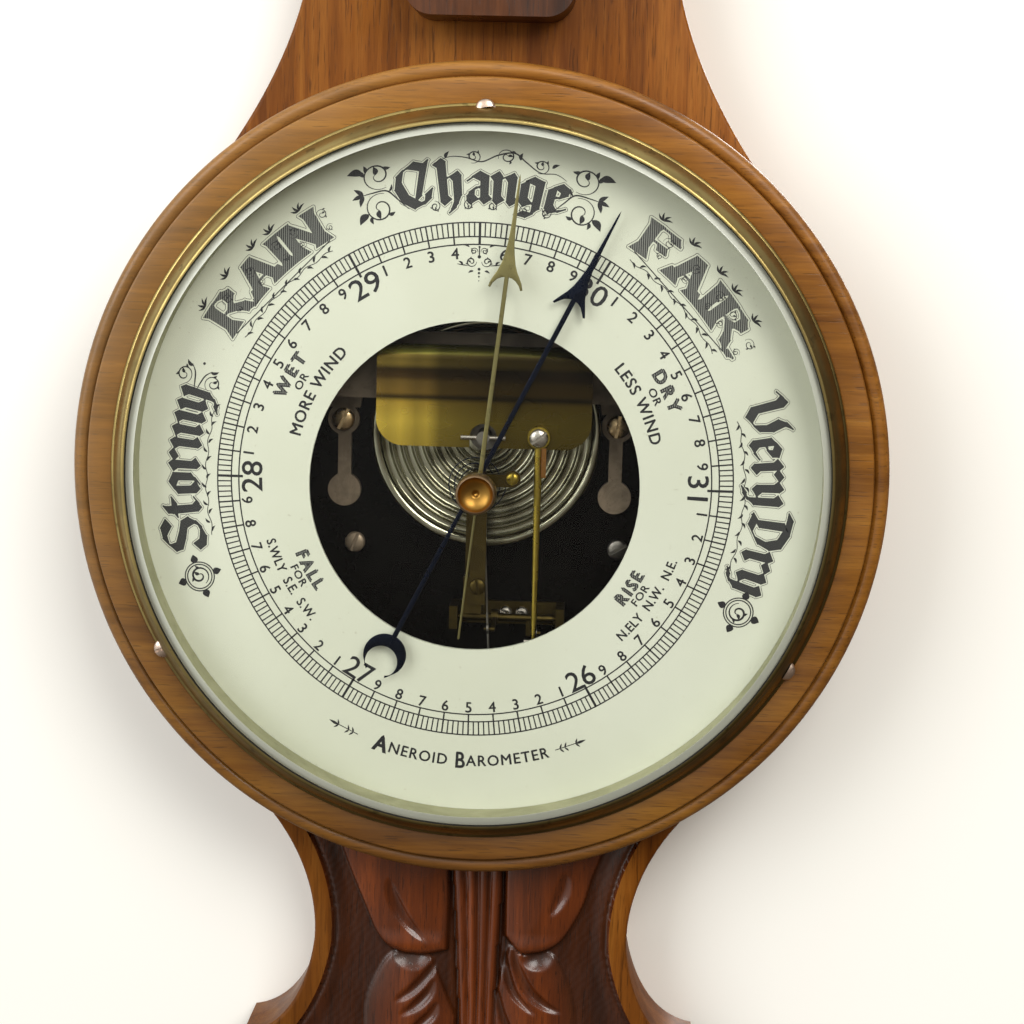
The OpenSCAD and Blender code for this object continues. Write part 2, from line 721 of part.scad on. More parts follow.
module main_lever() color("#a8904e") at_movement() difference() {
    plate(spring_front, lever_t) {
        translate([lever_x, lever_top_z]) circle(r = 3.5);
        polygon([[lever_x - 1.25, lever_top_z], [lever_x - 0.8, lever_low_z - 1.4],
                 [lever_x + 0.8, lever_low_z - 1.4], [lever_x + 1.25, lever_top_z]]);
    }
    at_xz([lever_x, lever_top_z]) disc(1.5 + play, 30, 35);
    rod_x(0.6 + play, lever_x - 4, 8, spring_front + 0.8, lever_low_z);
}

module compensation_strip() color("#b5713c") at_movement()
    plate(spring_front + lever_t + 0.02, 0.7) translate([lever_x + 0.9, 3]) square([1.4, 8.6]);

module lever_screw() color("#9b9890") at_movement() at_xz([lever_x, lever_top_z])
    round_screw(spring_front + lever_t, 2.9, 2.2, 1.5, 4, 25);

module lever_pin() color("#c4bfae") at_movement()
    rod_x(0.6, lever_x - 2.8, 5.6, spring_front + 0.8, lever_low_z);

module lever_link() color("#8d8a84") at_movement() {
    at_xz([lever_x, lever_low_z]) disc(0.5, spindle_depth + 1.5, spring_front);
    difference() {
        rod_x(1.9, lever_x - 0.6, 1.2, spindle_depth, lever_low_z);
        rod_x(1.4, lever_x - 2, 4, spindle_depth, lever_low_z);
    }
}

module capsule_post() color("#9c9a90") at_movement() difference() {
    at_xz(capsule_at) disc(post_r, 21.7, spring_front + 1.9);
    rod_x(0.7 + play, capsule_at[0] - 8, 16, spring_front + 0.8, capsule_at[1]);
}

module knife_edge_pin() color("#b9b6ab") at_movement()
    rod_x(0.7, capsule_at[0] - 6.5, 13, spring_front + 0.8, capsule_at[1]);

module adjusting_screw() color("#8d8a84") at_movement() at_xz(capsule_at) difference() {
    union() {
        disc(2.5, 5.6, base_front - 0.1);
        disc(4, 4, 5.6);
    }
    translate([-5, -5, -0.5]) cube([10, 1.9, 1]);
}

backboard();
dial_surround();
lower_carving();
crest_carving();
thermometer_box();
thermometer_glass();
thermometer_scale();
thermometer_tube();
mercury();
tube_clips();
hanging_plate();
hanging_plate_screws();
back_cover();
back_cover_screws();
bezel();
bezel_screws();
sight_ring();
glass();
glass_bush();
dial_plate();
dial_pillars();
base_plate();
base_plate_screws();
capsule();
capsule_stud();
spring_bridge();
bridge_screws();
rocking_bracket();
bracket_screws();
arbor_pillar();
arbor_cock();
cock_screw();
hairspring();
hairspring_stud();
hairspring_stud_screw();
set_knob();
set_hand();
pressure_hand();
hand_collet();
hand_arbor();
chain_drum();
rocking_bar();
chain();
main_spring();
main_lever();
compensation_strip();
lever_screw();
lever_pin();
lever_link();
capsule_post();
knife_edge_pin();
adjusting_screw();
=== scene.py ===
"""Looks of a wall-hung aneroid barometer in a carved walnut banjo case.

Lengths are in millimetres: x to the right, z up, measured from a centre, and depth forwards from the wall.
"""

import json
import math

import bmesh
import bpy
import numpy as np
from mathutils import Matrix, Vector
from mathutils.geometry import delaunay_2d_cdt


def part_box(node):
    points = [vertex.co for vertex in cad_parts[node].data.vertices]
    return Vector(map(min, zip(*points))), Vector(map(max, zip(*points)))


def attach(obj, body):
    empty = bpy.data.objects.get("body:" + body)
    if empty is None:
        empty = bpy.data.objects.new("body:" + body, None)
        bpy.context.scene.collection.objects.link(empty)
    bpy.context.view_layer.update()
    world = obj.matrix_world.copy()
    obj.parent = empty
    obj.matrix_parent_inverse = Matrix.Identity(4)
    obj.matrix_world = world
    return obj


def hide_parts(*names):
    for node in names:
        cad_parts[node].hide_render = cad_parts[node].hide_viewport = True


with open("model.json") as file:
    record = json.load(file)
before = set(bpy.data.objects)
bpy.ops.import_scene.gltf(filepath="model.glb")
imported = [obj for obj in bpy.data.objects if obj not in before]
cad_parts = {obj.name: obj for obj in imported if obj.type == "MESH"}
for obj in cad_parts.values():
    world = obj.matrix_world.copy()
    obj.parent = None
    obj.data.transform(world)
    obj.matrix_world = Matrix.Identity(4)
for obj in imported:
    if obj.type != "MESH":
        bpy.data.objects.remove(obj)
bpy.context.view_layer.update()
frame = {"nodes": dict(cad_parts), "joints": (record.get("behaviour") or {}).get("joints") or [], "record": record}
CAD = frame["nodes"]
JOINT = {j["name"]: j for j in frame["joints"]}
BODY_OF = {n: b for b, ns in frame["record"]["behaviour"]["bodies"].items() for n in ns}
SLOT_OF = {s["node"]: s["material_slot"] for s in frame["record"]["subparts"]}


def centre_of(node):
    lo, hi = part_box(node)
    return ((lo.x + hi.x) * 500, (lo.z + hi.z) * 500)


def back_front(node):
    """Depths of a node's back and front."""
    lo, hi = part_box(node)
    return -hi.y * 1000, -lo.y * 1000


def radius_of(node):
    return (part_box(node)[1].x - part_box(node)[0].x) * 500


def pivot(joint):
    x, _, z = JOINT[joint]["pos_m"]
    return (x * 1000, z * 1000)


CASE = centre_of("bezel")
AXIS, KNOB = pivot("hand_turn"), pivot("set_hand_turn")
BOARD = back_front("backboard")[1]
RING = back_front("dial_surround")[1]
DIAL = back_front("dial_plate")[1]
PRINT_RISE = 1.2  # the print sits a little high on its plate
SCALE = (AXIS[0], AXIS[1] + PRINT_RISE)

# ---------------------------------------------------------------- materials


def rgb(r, g, b):
    def lin(c):
        c /= 255
        return c / 12.92 if c <= 0.04045 else ((c + 0.055) / 1.055) ** 2.4

    return (lin(r), lin(g), lin(b), 1.0)


def toned(colour, k):
    return rgb(*[min(255, c * k) for c in colour])


class Graph:
    """A material's node tree, with short names for the nodes used here."""

    SOCKETS = {
        "color": "Base Color", "rough": "Roughness", "metal": "Metallic",
        "normal": "Normal", "alpha": "Alpha", "spec": "Specular IOR Level",
    }

    def __init__(self, name):
        self.mat = bpy.data.materials.new(name)
        self.mat.use_nodes = True
        self.tree = self.mat.node_tree
        self.bsdf = self.tree.nodes["Principled BSDF"]
        self.where = self.node("ShaderNodeTexCoord").outputs["Object"]

    def node(self, kind, **props):
        n = self.tree.nodes.new(kind)
        for k, v in props.items():
            setattr(n, k, v)
        return n

    def put(self, socket, value):
        if isinstance(value, bpy.types.NodeSocket):
            self.tree.links.new(value, socket)
        else:
            socket.default_value = value

    def fill(self, node, *values, **named):
        for socket, value in [*zip(node.inputs, values), *((node.inputs[k], v) for k, v in named.items())]:
            self.put(socket, value)
        return node.outputs

    def set(self, **values):
        for k, v in values.items():
            self.put(self.bsdf.inputs[self.SOCKETS[k]], v)
        return self.mat

    def surface(self, fac, a, b):
        """Makes a mix of two shaders the material's surface."""
        mixed = self.fill(self.node("ShaderNodeMixShader"), fac, a, b)[0]
        self.put(self.tree.nodes["Material Output"].inputs["Surface"], mixed)
        return self.mat

    def mapped(self, scale=(1, 1, 1), centre=(0, 0)):
        loc = (-centre[0] / 1000, 0, -centre[1] / 1000)
        return self.fill(self.node("ShaderNodeMapping"), Vector=self.where, Scale=scale, Location=loc)["Vector"]

    def noise(self, vec, scale, detail=3.0, rough=0.5, distort=0.0):
        n = self.node("ShaderNodeTexNoise")
        return self.fill(n, Vector=vec, Scale=scale, Detail=detail, Roughness=rough, Distortion=distort)["Fac"]

    def cloud(self, scale, detail=3.0, rough=0.5, distort=0.0):
        """Noise that is the same in all directions."""
        return self.noise(self.mapped(), scale, detail, rough, distort)

    def ramp(self, fac, *stops):
        n = self.node("ShaderNodeValToRGB")
        e = n.color_ramp.elements
        e.remove(e[-1])
        for i, (pos, colour) in enumerate(stops):
            item = e[0] if i == 0 else e.new(pos)
            item.position = pos
            item.color = colour if isinstance(colour, tuple) else (colour, colour, colour, 1)
        return self.fill(n, fac)["Color"]

    def mix(self, fac, a, b, blend="MIX"):
        n = self.node("ShaderNodeMix", data_type="RGBA", blend_type=blend, clamp_factor=True)
        for i, value in ((0, fac), (6, a), (7, b)):  # the colour sockets of a mix node
            self.put(n.inputs[i], value)
        return n.outputs[2]

    def math(self, op, a, b=0.0):
        return self.fill(self.node("ShaderNodeMath", operation=op), a, b)[0]

    def add(self, a, b):
        return self.math("ADD", a, b)

    def times(self, a, b):
        return self.math("MULTIPLY", a, b)

    def remap(self, v, lo, hi, to_lo=0.0, to_hi=1.0, kind="SMOOTHSTEP"):
        return self.fill(self.node("ShaderNodeMapRange", interpolation_type=kind), v, lo, hi, to_lo, to_hi)[0]

    def bump(self, height, strength, dist):
        return self.fill(self.node("ShaderNodeBump"), Strength=strength, Distance=dist, Height=height)["Normal"]

    def xyz(self, vec):
        return self.fill(self.node("ShaderNodeSeparateXYZ"), vec)


def shaded(g, colour, centre, reach, level, up, right):
    """A colour made darker or lighter across a round part, in straight ramps up and to the right. This is painted
    light and shade, except on the iron, where it gives the spring bridge its black-painted bar above bare feet.
    """
    o = g.xyz(g.mapped(centre=centre))
    k = g.add(g.times(o["Z"], 1000 * up / reach), g.times(o["X"], 1000 * right / reach))
    return g.mix(1.0, colour, g.add(k, level), "MULTIPLY")


GRAIN_STRETCH = 0.05  # how slowly wood changes along its grain
DEPTH_SHADING = (  # painted shade in the bottom of a carving and painted highlight on its tops
    (0.0, (0.2, 0.18, 0.16, 1)), (0.42, (0.52, 0.54, 0.52, 1)),
    (0.7, (1.02, 0.94, 0.8, 1)), (1.0, (1.35, 1.25, 1.0, 1)),
)


def walnut(
    name, along, dark, mid, light, gloss=0.34, streaks=0.5, pore_k=1.0, spec=0.15, shade=None, depth_shading=None, painted_sheen=None
):
    """Waxed walnut. along is the axis that the grain runs in."""
    g = Graph(name)
    v = g.mapped(tuple(GRAIN_STRETCH if a == along else 1 for a in "XYZ"))
    drift = g.cloud(9, 2)
    broad = g.noise(v, 38, 3, 0.55, 0.6)
    figure = g.noise(v, 170, 3, 0.6, 0.8)
    fine = g.noise(v, 900, 3, 0.65, 0.4)
    hair = g.noise(v, 3600, 2, 0.6)
    pores = g.remap(g.noise(v, 2300, 1), 0.62, 0.7)
    tone = g.add(g.times(broad, 0.45), g.add(g.times(figure, 0.33), g.times(drift, 0.22)))
    base = g.ramp(tone, (0.36, rgb(*dark)), (0.49, rgb(*mid)), (0.63, rgb(*light)))
    for mask, share, colour in (
        (g.remap(fine, 0.5, 0.68), streaks * 0.6, toned(dark, 0.72)),
        (g.remap(fine, 0.48, 0.3), streaks * 0.4, toned(light, 1.08)),
        (pores, 0.5 * pore_k, toned(dark, 0.45)),
        (g.remap(hair, 0.42, 0.68), 0.2, toned(mid, 0.75)),
    ):
        base = g.mix(g.times(mask, share), base, colour)
    # painted light and shade: the part lighter to one side and darker to the other
    if shade:
        base = shaded(g, base, *shade)
    if painted_sheen:  # painted sheen: paler and greyer towards the upper left
        o = g.xyz(g.mapped(centre=CASE))
        sheen_side = g.add(g.times(o["X"], -0.86), g.times(o["Z"], 0.5))
        base = g.mix(g.times(g.remap(sheen_side, 0.02, 0.12), 0.3), base, rgb(*painted_sheen))
    # painted shade and highlight by depth: the ground of a carving darker, its tops lighter
    if depth_shading:
        depth = g.remap(g.xyz(g.where)["Y"], -depth_shading[0] / 1000, -depth_shading[1] / 1000, kind="LINEAR")
        base = g.mix(1.0, base, g.ramp(depth, *DEPTH_SHADING), "MULTIPLY")
    wax = g.cloud(60)
    height = g.math("SUBTRACT", g.times(fine, 0.4), g.times(pores, 0.7))
    rough = g.remap(wax, 0.3, 0.7, gloss - 0.06, gloss + 0.12)
    return g.set(color=base, rough=rough, spec=spec, normal=g.bump(height, 0.25, 0.0001))


def aged_metal(
    name, base, stain, shine, patches, scale, metal=1.0, dirt=(40, 34, 22), dirt_amount=0.3, shade=None, spec=None
):
    """Metal with patchy tarnish, fine scratches and dirt."""
    g = Graph(name)
    patch = g.cloud(scale, 4, 0.6, 0.4)
    spots = g.cloud(scale * 7, 2, 0.6)
    colour = g.mix(g.times(g.remap(patch, 0.42, 0.66), patches), rgb(*base), rgb(*stain))
    colour = g.mix(g.times(g.remap(spots, 0.6, 0.72), dirt_amount), colour, rgb(*dirt))
    # painted light and shade across the part; on the iron, the spring bridge's black bar above its bare feet
    if shade:
        colour = shaded(g, colour, *shade)
    if spec is not None:
        g.set(spec=spec)
    rough = g.add(g.remap(patch, 0.35, 0.7, shine - 0.05, shine + 0.16), g.times(spots, 0.08))
    return g.set(color=colour, metal=metal, rough=rough, normal=g.bump(g.cloud(2600, 2, 0.6), 0.1, 0.00004))


def turned_metal(name, centre, base, stain, shine, strength):
    """Metal turned on a lathe about centre, with concentric tool marks."""
    g = Graph(name)
    r = g.fill(g.node("ShaderNodeVectorMath", operation="LENGTH"), g.mapped((1, 0, 1), centre))["Value"]
    marks = g.noise(g.fill(g.node("ShaderNodeCombineXYZ"), r)[0], 2400.0, 2, 0.6)
    patch = g.cloud(90, 3, 0.6)
    colour = g.mix(g.remap(patch, 0.4, 0.7), rgb(*base), rgb(*stain))
    rough = g.remap(patch, 0.3, 0.7, shine - 0.05, shine + 0.1)
    return g.set(color=colour, metal=1.0, rough=rough, normal=g.bump(marks, strength, 0.00005))


SPRING_PAINTED_BANDS = (  # painted highlights and shade up the bend of the main spring
    (0.0, (214, 184, 74)), (0.26, (240, 208, 86)), (0.43, (206, 172, 70)), (0.475, (60, 48, 24)),
    (0.52, (150, 120, 54)), (0.62, (132, 106, 50)), (0.66, (84, 64, 32)), (0.73, (64, 50, 26)),
    (0.78, (150, 128, 58)), (0.86, (128, 108, 50)), (0.9, (214, 208, 100)), (1.0, (80, 70, 38)),
)
SPRING_PAINTED_LIGHT = (  # painted light across it, bright on the left and dark on the right
    (0.0, 1.0), (0.06, 0.78), (0.12, 1.0), (0.19, 0.62), (0.24, 0.74), (0.3, 0.28), (0.62, 0.13), (1.0, 0.11),
)


def spring_brass(name):
    """Rolled brass-bronze with painted highlights and shade in bands across its bend, and painted light fading from
    left to right.
    """
    g = Graph(name)
    o = g.xyz(g.mapped(centre=AXIS))
    # painted highlights and shade up the bend
    band = g.ramp(g.remap(o["Z"], 0.010, 0.042, kind="LINEAR"), *((pos, rgb(*c)) for pos, c in SPRING_PAINTED_BANDS))
    # painted light, fading from left to right
    side = g.ramp(g.remap(o["X"], -0.030, 0.034, kind="LINEAR"), *SPRING_PAINTED_LIGHT)
    blot = g.noise(g.mapped((0.5, 1, 1)), 60, 3, 0.6)
    colour = g.mix(1.0, band, side, "MULTIPLY")
    colour = g.mix(g.times(g.remap(blot, 0.5, 0.72), 0.35), colour, rgb(52, 40, 24))
    brush = g.noise(g.mapped((0.03, 1, 1)), 2400, 2, 0.6)
    rough = g.remap(blot, 0.3, 0.7, 0.2, 0.34)
    return g.set(color=colour, metal=0.9, rough=rough, normal=g.bump(brush, 0.1, 0.00005))


def hatched_ink(name):
    """Print in fine lines."""
    g = Graph(name)
    wave = g.node("ShaderNodeTexWave", wave_type="BANDS", wave_profile="SIN", bands_direction="X")
    lines = g.fill(wave, Vector=g.mapped(), Scale=520, Distortion=0.0, Detail=2.0)["Fac"]
    colour = g.mix(g.remap(lines, 0.3, 0.7), (0.014, 0.014, 0.014, 1), (0.19, 0.195, 0.175, 1))
    return g.set(color=colour, rough=0.45)


def enamel(name):
    g = Graph(name)
    cloud = g.cloud(14)
    speck = g.cloud(900, 1)
    base = g.mix(g.remap(cloud, 0.35, 0.68), rgb(220, 223, 206), rgb(212, 215, 196))
    base = g.mix(g.times(g.remap(speck, 0.72, 0.78), 0.25), base, rgb(150, 140, 110))
    # painted light: a little lighter up and to the left, darker to the right
    base = shaded(g, base, CASE, 95, 0.95, 0.05, -0.07)
    return g.set(color=base, rough=0.32, spec=0.4, normal=g.bump(speck, 0.03, 0.00003))


def plate_glass(name, tint):
    """Clear glass that reflects little from the front and more at a glancing angle."""
    g = Graph(name)
    floor = 0.008
    clear = g.fill(g.node("ShaderNodeBsdfTransparent"), (*tint, 1))[0]
    shine = g.fill(g.node("ShaderNodeBsdfGlossy"), Roughness=0.0, Color=(1, 1, 1, 1))[0]
    facing = g.node("ShaderNodeLayerWeight").outputs["Facing"]
    share = g.add(g.times(g.math("POWER", facing, 5), 1 - floor), floor)
    g.tree.nodes.remove(g.bsdf)
    return g.surface(share, clear, shine)


def bevel_glass(name):
    g = Graph(name)
    # painted reflection: the bevel is a pale, mostly opaque colour for the light it reflects and bends, lighter up and
    # darker to the right
    colour = shaded(g, rgb(196, 199, 186), CASE, 99, 0.96, 0.12, -0.12)
    return g.set(color=colour, rough=0.28, spec=0.7, alpha=0.86, normal=g.bump(g.cloud(200, 2), 0.05, 0.0001))


M = {
    # the board has painted light: lighter up and to the right, darker down and to the left
    "board": walnut(
        "walnut_board", "Z", (88, 44, 8), (126, 72, 20), (156, 100, 38), spec=0.12, shade=(CASE, 170, 0.9, 0.16, 0.34)
    ),
    # the ring has painted shade, darker towards the bottom, and a painted sheen on its upper left
    "ring": walnut("walnut_ring", "X", (104, 60, 16), (150, 96, 32), (180, 124, 48), streaks=0.4, spec=0.36,
                   shade=(CASE, 112, 0.7, 0.22, 0.07), painted_sheen=(160, 130, 84)),
    # the carving has painted shade in its hollows and painted highlight on its tops
    "carved": walnut("walnut_carved", "Z", (46, 20, 8), (84, 39, 15), (116, 58, 24), gloss=0.22, streaks=0.4, spec=0.5,
                     depth_shading=(BOARD - 2.8, BOARD + 1.6)),
    "box": walnut("walnut_box", "Z", (48, 24, 10), (82, 44, 18), (108, 62, 28), gloss=0.3, spec=0.3),
    "ivory": walnut(
        "scale_ivory", "Z", (214, 204, 176), (226, 218, 192), (234, 228, 206), gloss=0.3, streaks=0.12, pore_k=0.1
    ),
    "knob": turned_metal("brass_knob", AXIS, (156, 118, 56), (112, 80, 34), 0.36, 0.25),
    "capsule": turned_metal("capsule_metal", centre_of("capsule"), (176, 174, 152), (124, 120, 98), 0.15, 0.04),
    "spring": spring_brass("spring_bronze"),
    "ink": Graph("print_black").set(color=(0.012, 0.012, 0.014, 1), rough=0.45),
    "ink_grey": Graph("print_grey").set(color=(0.03, 0.031, 0.031, 1), rough=0.45),
    "ink_hatched": hatched_ink("print_hatched"),
    "dial": enamel("dial_enamel"),
    "glass": plate_glass("glass_clear", (0.985, 0.99, 0.985)),
    "tube": plate_glass("glass_tube", (0.93, 0.95, 0.94)),
    "bevel": bevel_glass("glass_bevel"),
    "mercury": Graph("quicksilver").set(color=rgb(190, 192, 196), metal=1.0, rough=0.08),
}
for key, name, base, stain, shine, patches, scale, more in (
    # the bezel has painted light: lighter at the top, darker at the bottom and on the right
    ("bezel", "brass_bezel", (172, 152, 96), (118, 104, 66), 0.27, 0.7, 38,
     {"dirt": (62, 56, 34), "dirt_amount": 0.45, "shade": (CASE, 103, 0.78, 0.3, -0.22)}),
    # a painted shadow: near-black brass for the gap under the bezel's lip
    ("lip_shadow", "brass_tarnish", (30, 27, 22), (18, 16, 14), 0.45, 0.5, 80, {"metal": 0.6}),
    ("sight", "brass_sight", (168, 166, 132), (138, 138, 108), 0.42, 0.5, 60, {"metal": 0.35, "dirt_amount": 0.15}),
    ("brass", "brass_aged", (172, 150, 62), (116, 100, 42), 0.24, 0.6, 120, {}),
    ("brass_hand", "brass_hand", (146, 138, 92), (104, 98, 64), 0.3, 0.6, 90, {}),
    ("brass_dark", "brass_dark", (76, 64, 32), (46, 38, 20), 0.36, 0.6, 120, {}),
    ("steel", "steel_screw", (188, 182, 172), (140, 130, 116), 0.22, 0.4, 400, {}),
    ("steel_pink", "steel_bright", (214, 192, 176), (160, 136, 116), 0.26, 0.5, 500, {}),
    ("steel_warm", "steel_warm", (206, 180, 138), (150, 122, 84), 0.26, 0.5, 500, {}),
    ("steel_dull", "steel_dull", (130, 126, 118), (92, 88, 80), 0.34, 0.5, 300, {}),
    ("blued", "steel_blued", (28, 34, 50), (20, 20, 26), 0.24, 0.5, 200, {"dirt_amount": 0.1}),
    # iron: darker higher up, for the spring bridge's black-painted bar above its bare feet
    ("iron", "iron_black", (146, 130, 110), (100, 88, 72), 0.38, 0.6, 120,
     {"metal": 0.7, "shade": (AXIS, 40, 0.9, -0.66, 0)}),
    ("lacquer", "base_black", (5, 4, 3), (9, 7, 5), 0.22, 0.5, 90,
     {"metal": 0.0, "dirt": (60, 50, 40), "dirt_amount": 0.05, "spec": 0.05}),
    ("milled", "knob_milled", (132, 110, 84), (92, 74, 54), 0.3, 0.5, 300, {}),
    ("copper", "copper_strip", (146, 102, 54), (104, 72, 40), 0.3, 0.5, 300, {}),
):
    M[key] = aged_metal(name, base, stain, shine, patches, scale, **more)

# ---------------------------------------------------------------- mesh tools


def grid_faces(rows, cols, wrap=False):
    f = []
    for i in range(rows - 1):
        for j in range(cols if wrap else cols - 1):
            j2 = (j + 1) % cols
            f.append((i * cols + j, i * cols + j2, (i + 1) * cols + j2, (i + 1) * cols + j))
    return f


class Shell:
    """Points, as x, depth, z from a centre, and faces, gathered part by part."""

    def __init__(self):
        self.points, self.faces = [], []

    def add(self, points, faces):
        n = len(self.points)
        self.points.extend(points)
        self.faces.extend([[i + n for i in f] for f in faces])

    def rows(self, rows):
        """A band between closed rows of the same number of points."""
        self.add([p for r in rows for p in r], grid_faces(len(rows), len(rows[0]), wrap=True))

    def wall(self, loop, back, front):
        self.rows([[(x, d, z) for x, z in loop] for d in (back, front)])

    def face(self, depth, *loops, without=None):
        """A flat face between loops."""
        v, f = flat_faces(loops)
        if without is not None:
            f = f[~inside(v[f].mean(1), without)]
        self.add([(x, depth, z) for x, z in v], f)


def piece(name, shell, mat, node, at=CASE, sharp=35, closed=True, merge=1e-6, hides=True):
    """A mesh that has its body from a CAD node, with a finish given to it, and stands for it if it hides it."""
    p = np.asarray(shell.points, float).reshape(-1, 3)
    p = np.c_[p[:, 0] + at[0], -p[:, 1], p[:, 2] + at[1]] * 0.001
    me = bpy.data.meshes.new(name)
    me.from_pydata(p.tolist(), [], [list(map(int, f)) for f in shell.faces])
    bm = bmesh.new()
    bm.from_mesh(me)
    if merge:
        bmesh.ops.remove_doubles(bm, verts=bm.verts, dist=merge)
    if closed:
        bmesh.ops.recalc_face_normals(bm, faces=bm.faces)
    for f in bm.faces:
        f.smooth = True
    for e in bm.edges:
        if len(e.link_faces) == 2:
            e.smooth = e.calc_face_angle(0) < math.radians(sharp)
    bm.to_mesh(me)
    bm.free()
    ob = bpy.data.objects.new(name, me)
    bpy.context.scene.collection.objects.link(ob)
    me.materials.append(mat)
    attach(ob, BODY_OF[node])
    if hides:
        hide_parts(node)
    return ob


def two_part(ob, second, test):
    """Gives the faces that pass a test a second material."""
    ob.data.materials.append(second)
    for f in ob.data.polygons:
        c = sum((ob.data.vertices[i].co for i in f.vertices), Vector()) / len(f.vertices) * 1000
        if test(c):
            f.material_index = 1


def from_axis(c, at):
    return math.hypot(c.x - at[0], c.z - at[1])


def rounded(points, radii, steps=3):
    """The open profile with its inner corners rounded."""
    out = [points[0]]
    for a, b, c, rad in zip(points, points[1:], points[2:], radii):
        a, b, c = (np.array(p, float) for p in (a, b, c))
        u, v = a - b, c - b
        lu, lv = np.linalg.norm(u), np.linalg.norm(v)
        d = min(rad, lu * 0.45, lv * 0.45)
        p, q = b + u / lu * d, b + v / lv * d
        for k in range(steps + 1):
            t = k / steps
            out.append(tuple((1 - t) ** 2 * p + 2 * t * (1 - t) * b + t * t * q))
    return [*out, points[-1]]


def lathe(name, profile, mat, node, at=CASE, segs=256, **kw):
    """Turns a profile of radius and depth about an axis along Y."""
    a = np.arange(segs) * 2 * np.pi / segs
    shell = Shell()
    shell.rows([[(r * np.sin(t), d, r * np.cos(t)) for t in a] for r, d in profile])
    return piece(name, shell, mat, node, at, **kw)


def bezier(p, n=24):
    t = np.linspace(0, 1, n + 1)[:, None]
    p = [np.array(q, float) for q in p]
    return (1 - t) ** 3 * p[0] + 3 * (1 - t) ** 2 * t * p[1] + 3 * (1 - t) * t * t * p[2] + t**3 * p[3]


def round_points(c, r, a):
    """Points at angles, in radians anticlockwise from the right, on a circle."""
    return np.c_[c[0] + r * np.cos(a), c[1] + r * np.sin(a)]


def arc(c, r, a, b, n=24):
    return round_points(c, r, np.radians(np.linspace(a, b, n + 1)))


def circle(r, n=256, c=(0, 0)):
    return round_points(c, r, np.arange(n) * 2 * np.pi / n)


def both_sides(half, gap=0.25):
    """The closed loop of an outline's right half and its mirror image."""
    keep = [half[0]]
    for p in half[1:]:
        if np.linalg.norm(p - keep[-1]) > gap:
            keep.append(p)
    return np.vstack([keep, [(-x, z) for x, z in keep[::-1] if x > 0.05]])


def inset(loop, d, limit=2.5):
    """The closed anticlockwise loop moved inwards by d."""
    e = np.roll(loop, -1, 0) - loop
    n = np.c_[-e[:, 1], e[:, 0]] / np.linalg.norm(e, axis=1)[:, None]
    m = np.roll(n, 1, 0)
    k = 1 + (n * m).sum(1)
    return loop + (n + m) / np.maximum(k, 2 / limit**2)[:, None] * d


def inside(points, loop):
    """Which points lie in the closed loop."""
    x, y = points[:, 0], points[:, 1]
    hit = np.zeros(len(points), bool)
    for (ax, ay), (bx, by) in zip(loop, np.roll(loop, -1, 0)):
        if ay != by:
            hit ^= ((ay > y) != (by > y)) & (x < (bx - ax) * (y - ay) / (by - ay) + ax)
    return hit


def nearest(points, line, closed=False):
    """Distance from each point to a line of points, and the nearest point and position along it."""
    a = np.asarray(line, float)
    b = np.roll(a, -1, 0) if closed else a[1:]
    a = a if closed else a[:-1]
    best = np.full(len(points), 1e9)
    foot = np.zeros((len(points), 2))
    along = np.zeros(len(points))
    for i, (p, q) in enumerate(zip(a, b)):
        d = q - p
        t = np.clip(((points - p) @ d) / max(d @ d, 1e-12), 0, 1)
        f = p + t[:, None] * d
        dist = np.hypot(*(points - f).T)
        near = dist < best
        best[near], foot[near], along[near] = dist[near], f[near], (i + t[near]) / len(a)
    return best, foot, along


def flat_faces(loops):
    """Points and triangles of the area inside an odd number of loops."""
    edges, n = [], 0
    for l in loops:
        edges += [(n + i, n + (i + 1) % len(l)) for i in range(len(l))]
        n += len(l)
    v, _, f, *_ = delaunay_2d_cdt([Vector(p) for p in np.vstack(loops)], edges, [], 0, 1e-6)
    v = np.array([tuple(p) for p in v])
    f = np.array([t for t in f if len(t) == 3])
    odd = np.zeros(len(f), bool)
    for l in loops:
        odd ^= inside(v[f].mean(1), l)
    return v, f[odd]


def smoothstep(v, lo, hi):
    t = np.clip((v - lo) / (hi - lo), 0, 1)
    return t * t * (3 - 2 * t)


def relief(name, loop, height, cell, node):
    """A carved surface over the area of a closed loop: height gives the depth at points x, z."""
    lo, hi = loop.min(0) - cell, loop.max(0) + cell
    nx, nz = (int(v) + 2 for v in (hi - lo) / cell)
    X, Z = np.meshgrid(lo[0] + np.arange(nx) * cell, lo[1] + np.arange(nz) * cell)
    p = np.c_[X.ravel(), Z.ravel()]
    # points close to the edge move onto it
    band, foot, _ = nearest(p, loop, closed=True)
    snap = band < 0.55 * cell
    q = np.where(snap[:, None], foot, p)
    keep = inside(p, loop) | snap
    h = np.zeros(len(p))
    h[keep] = height(q[keep], np.where(snap, 0.0, band)[keep])
    ids = np.arange(nx * nz).reshape(nz, nx)
    quad = np.c_[ids[:-1, :-1].ravel(), ids[:-1, 1:].ravel(), ids[1:, 1:].ravel(), ids[1:, :-1].ravel()]
    k = keep[quad]
    faces = quad[k.all(1)].tolist()
    for row, kk in zip(quad[k.sum(1) == 3], k[k.sum(1) == 3]):
        faces.append([int(i) for i, on in zip(row, kk) if on])
    used = np.zeros(len(p), bool)
    for f in faces:
        used[f] = True
    new = np.cumsum(used) - 1
    shell = Shell()
    shell.add(np.c_[q[used, 0], h[used], q[used, 1]], [[int(new[i]) for i in f][::-1] for f in faces])
    return piece(name, shell, M["carved"], node, closed=False, merge=0, sharp=180)


# ---------------------------------------------------------------- case

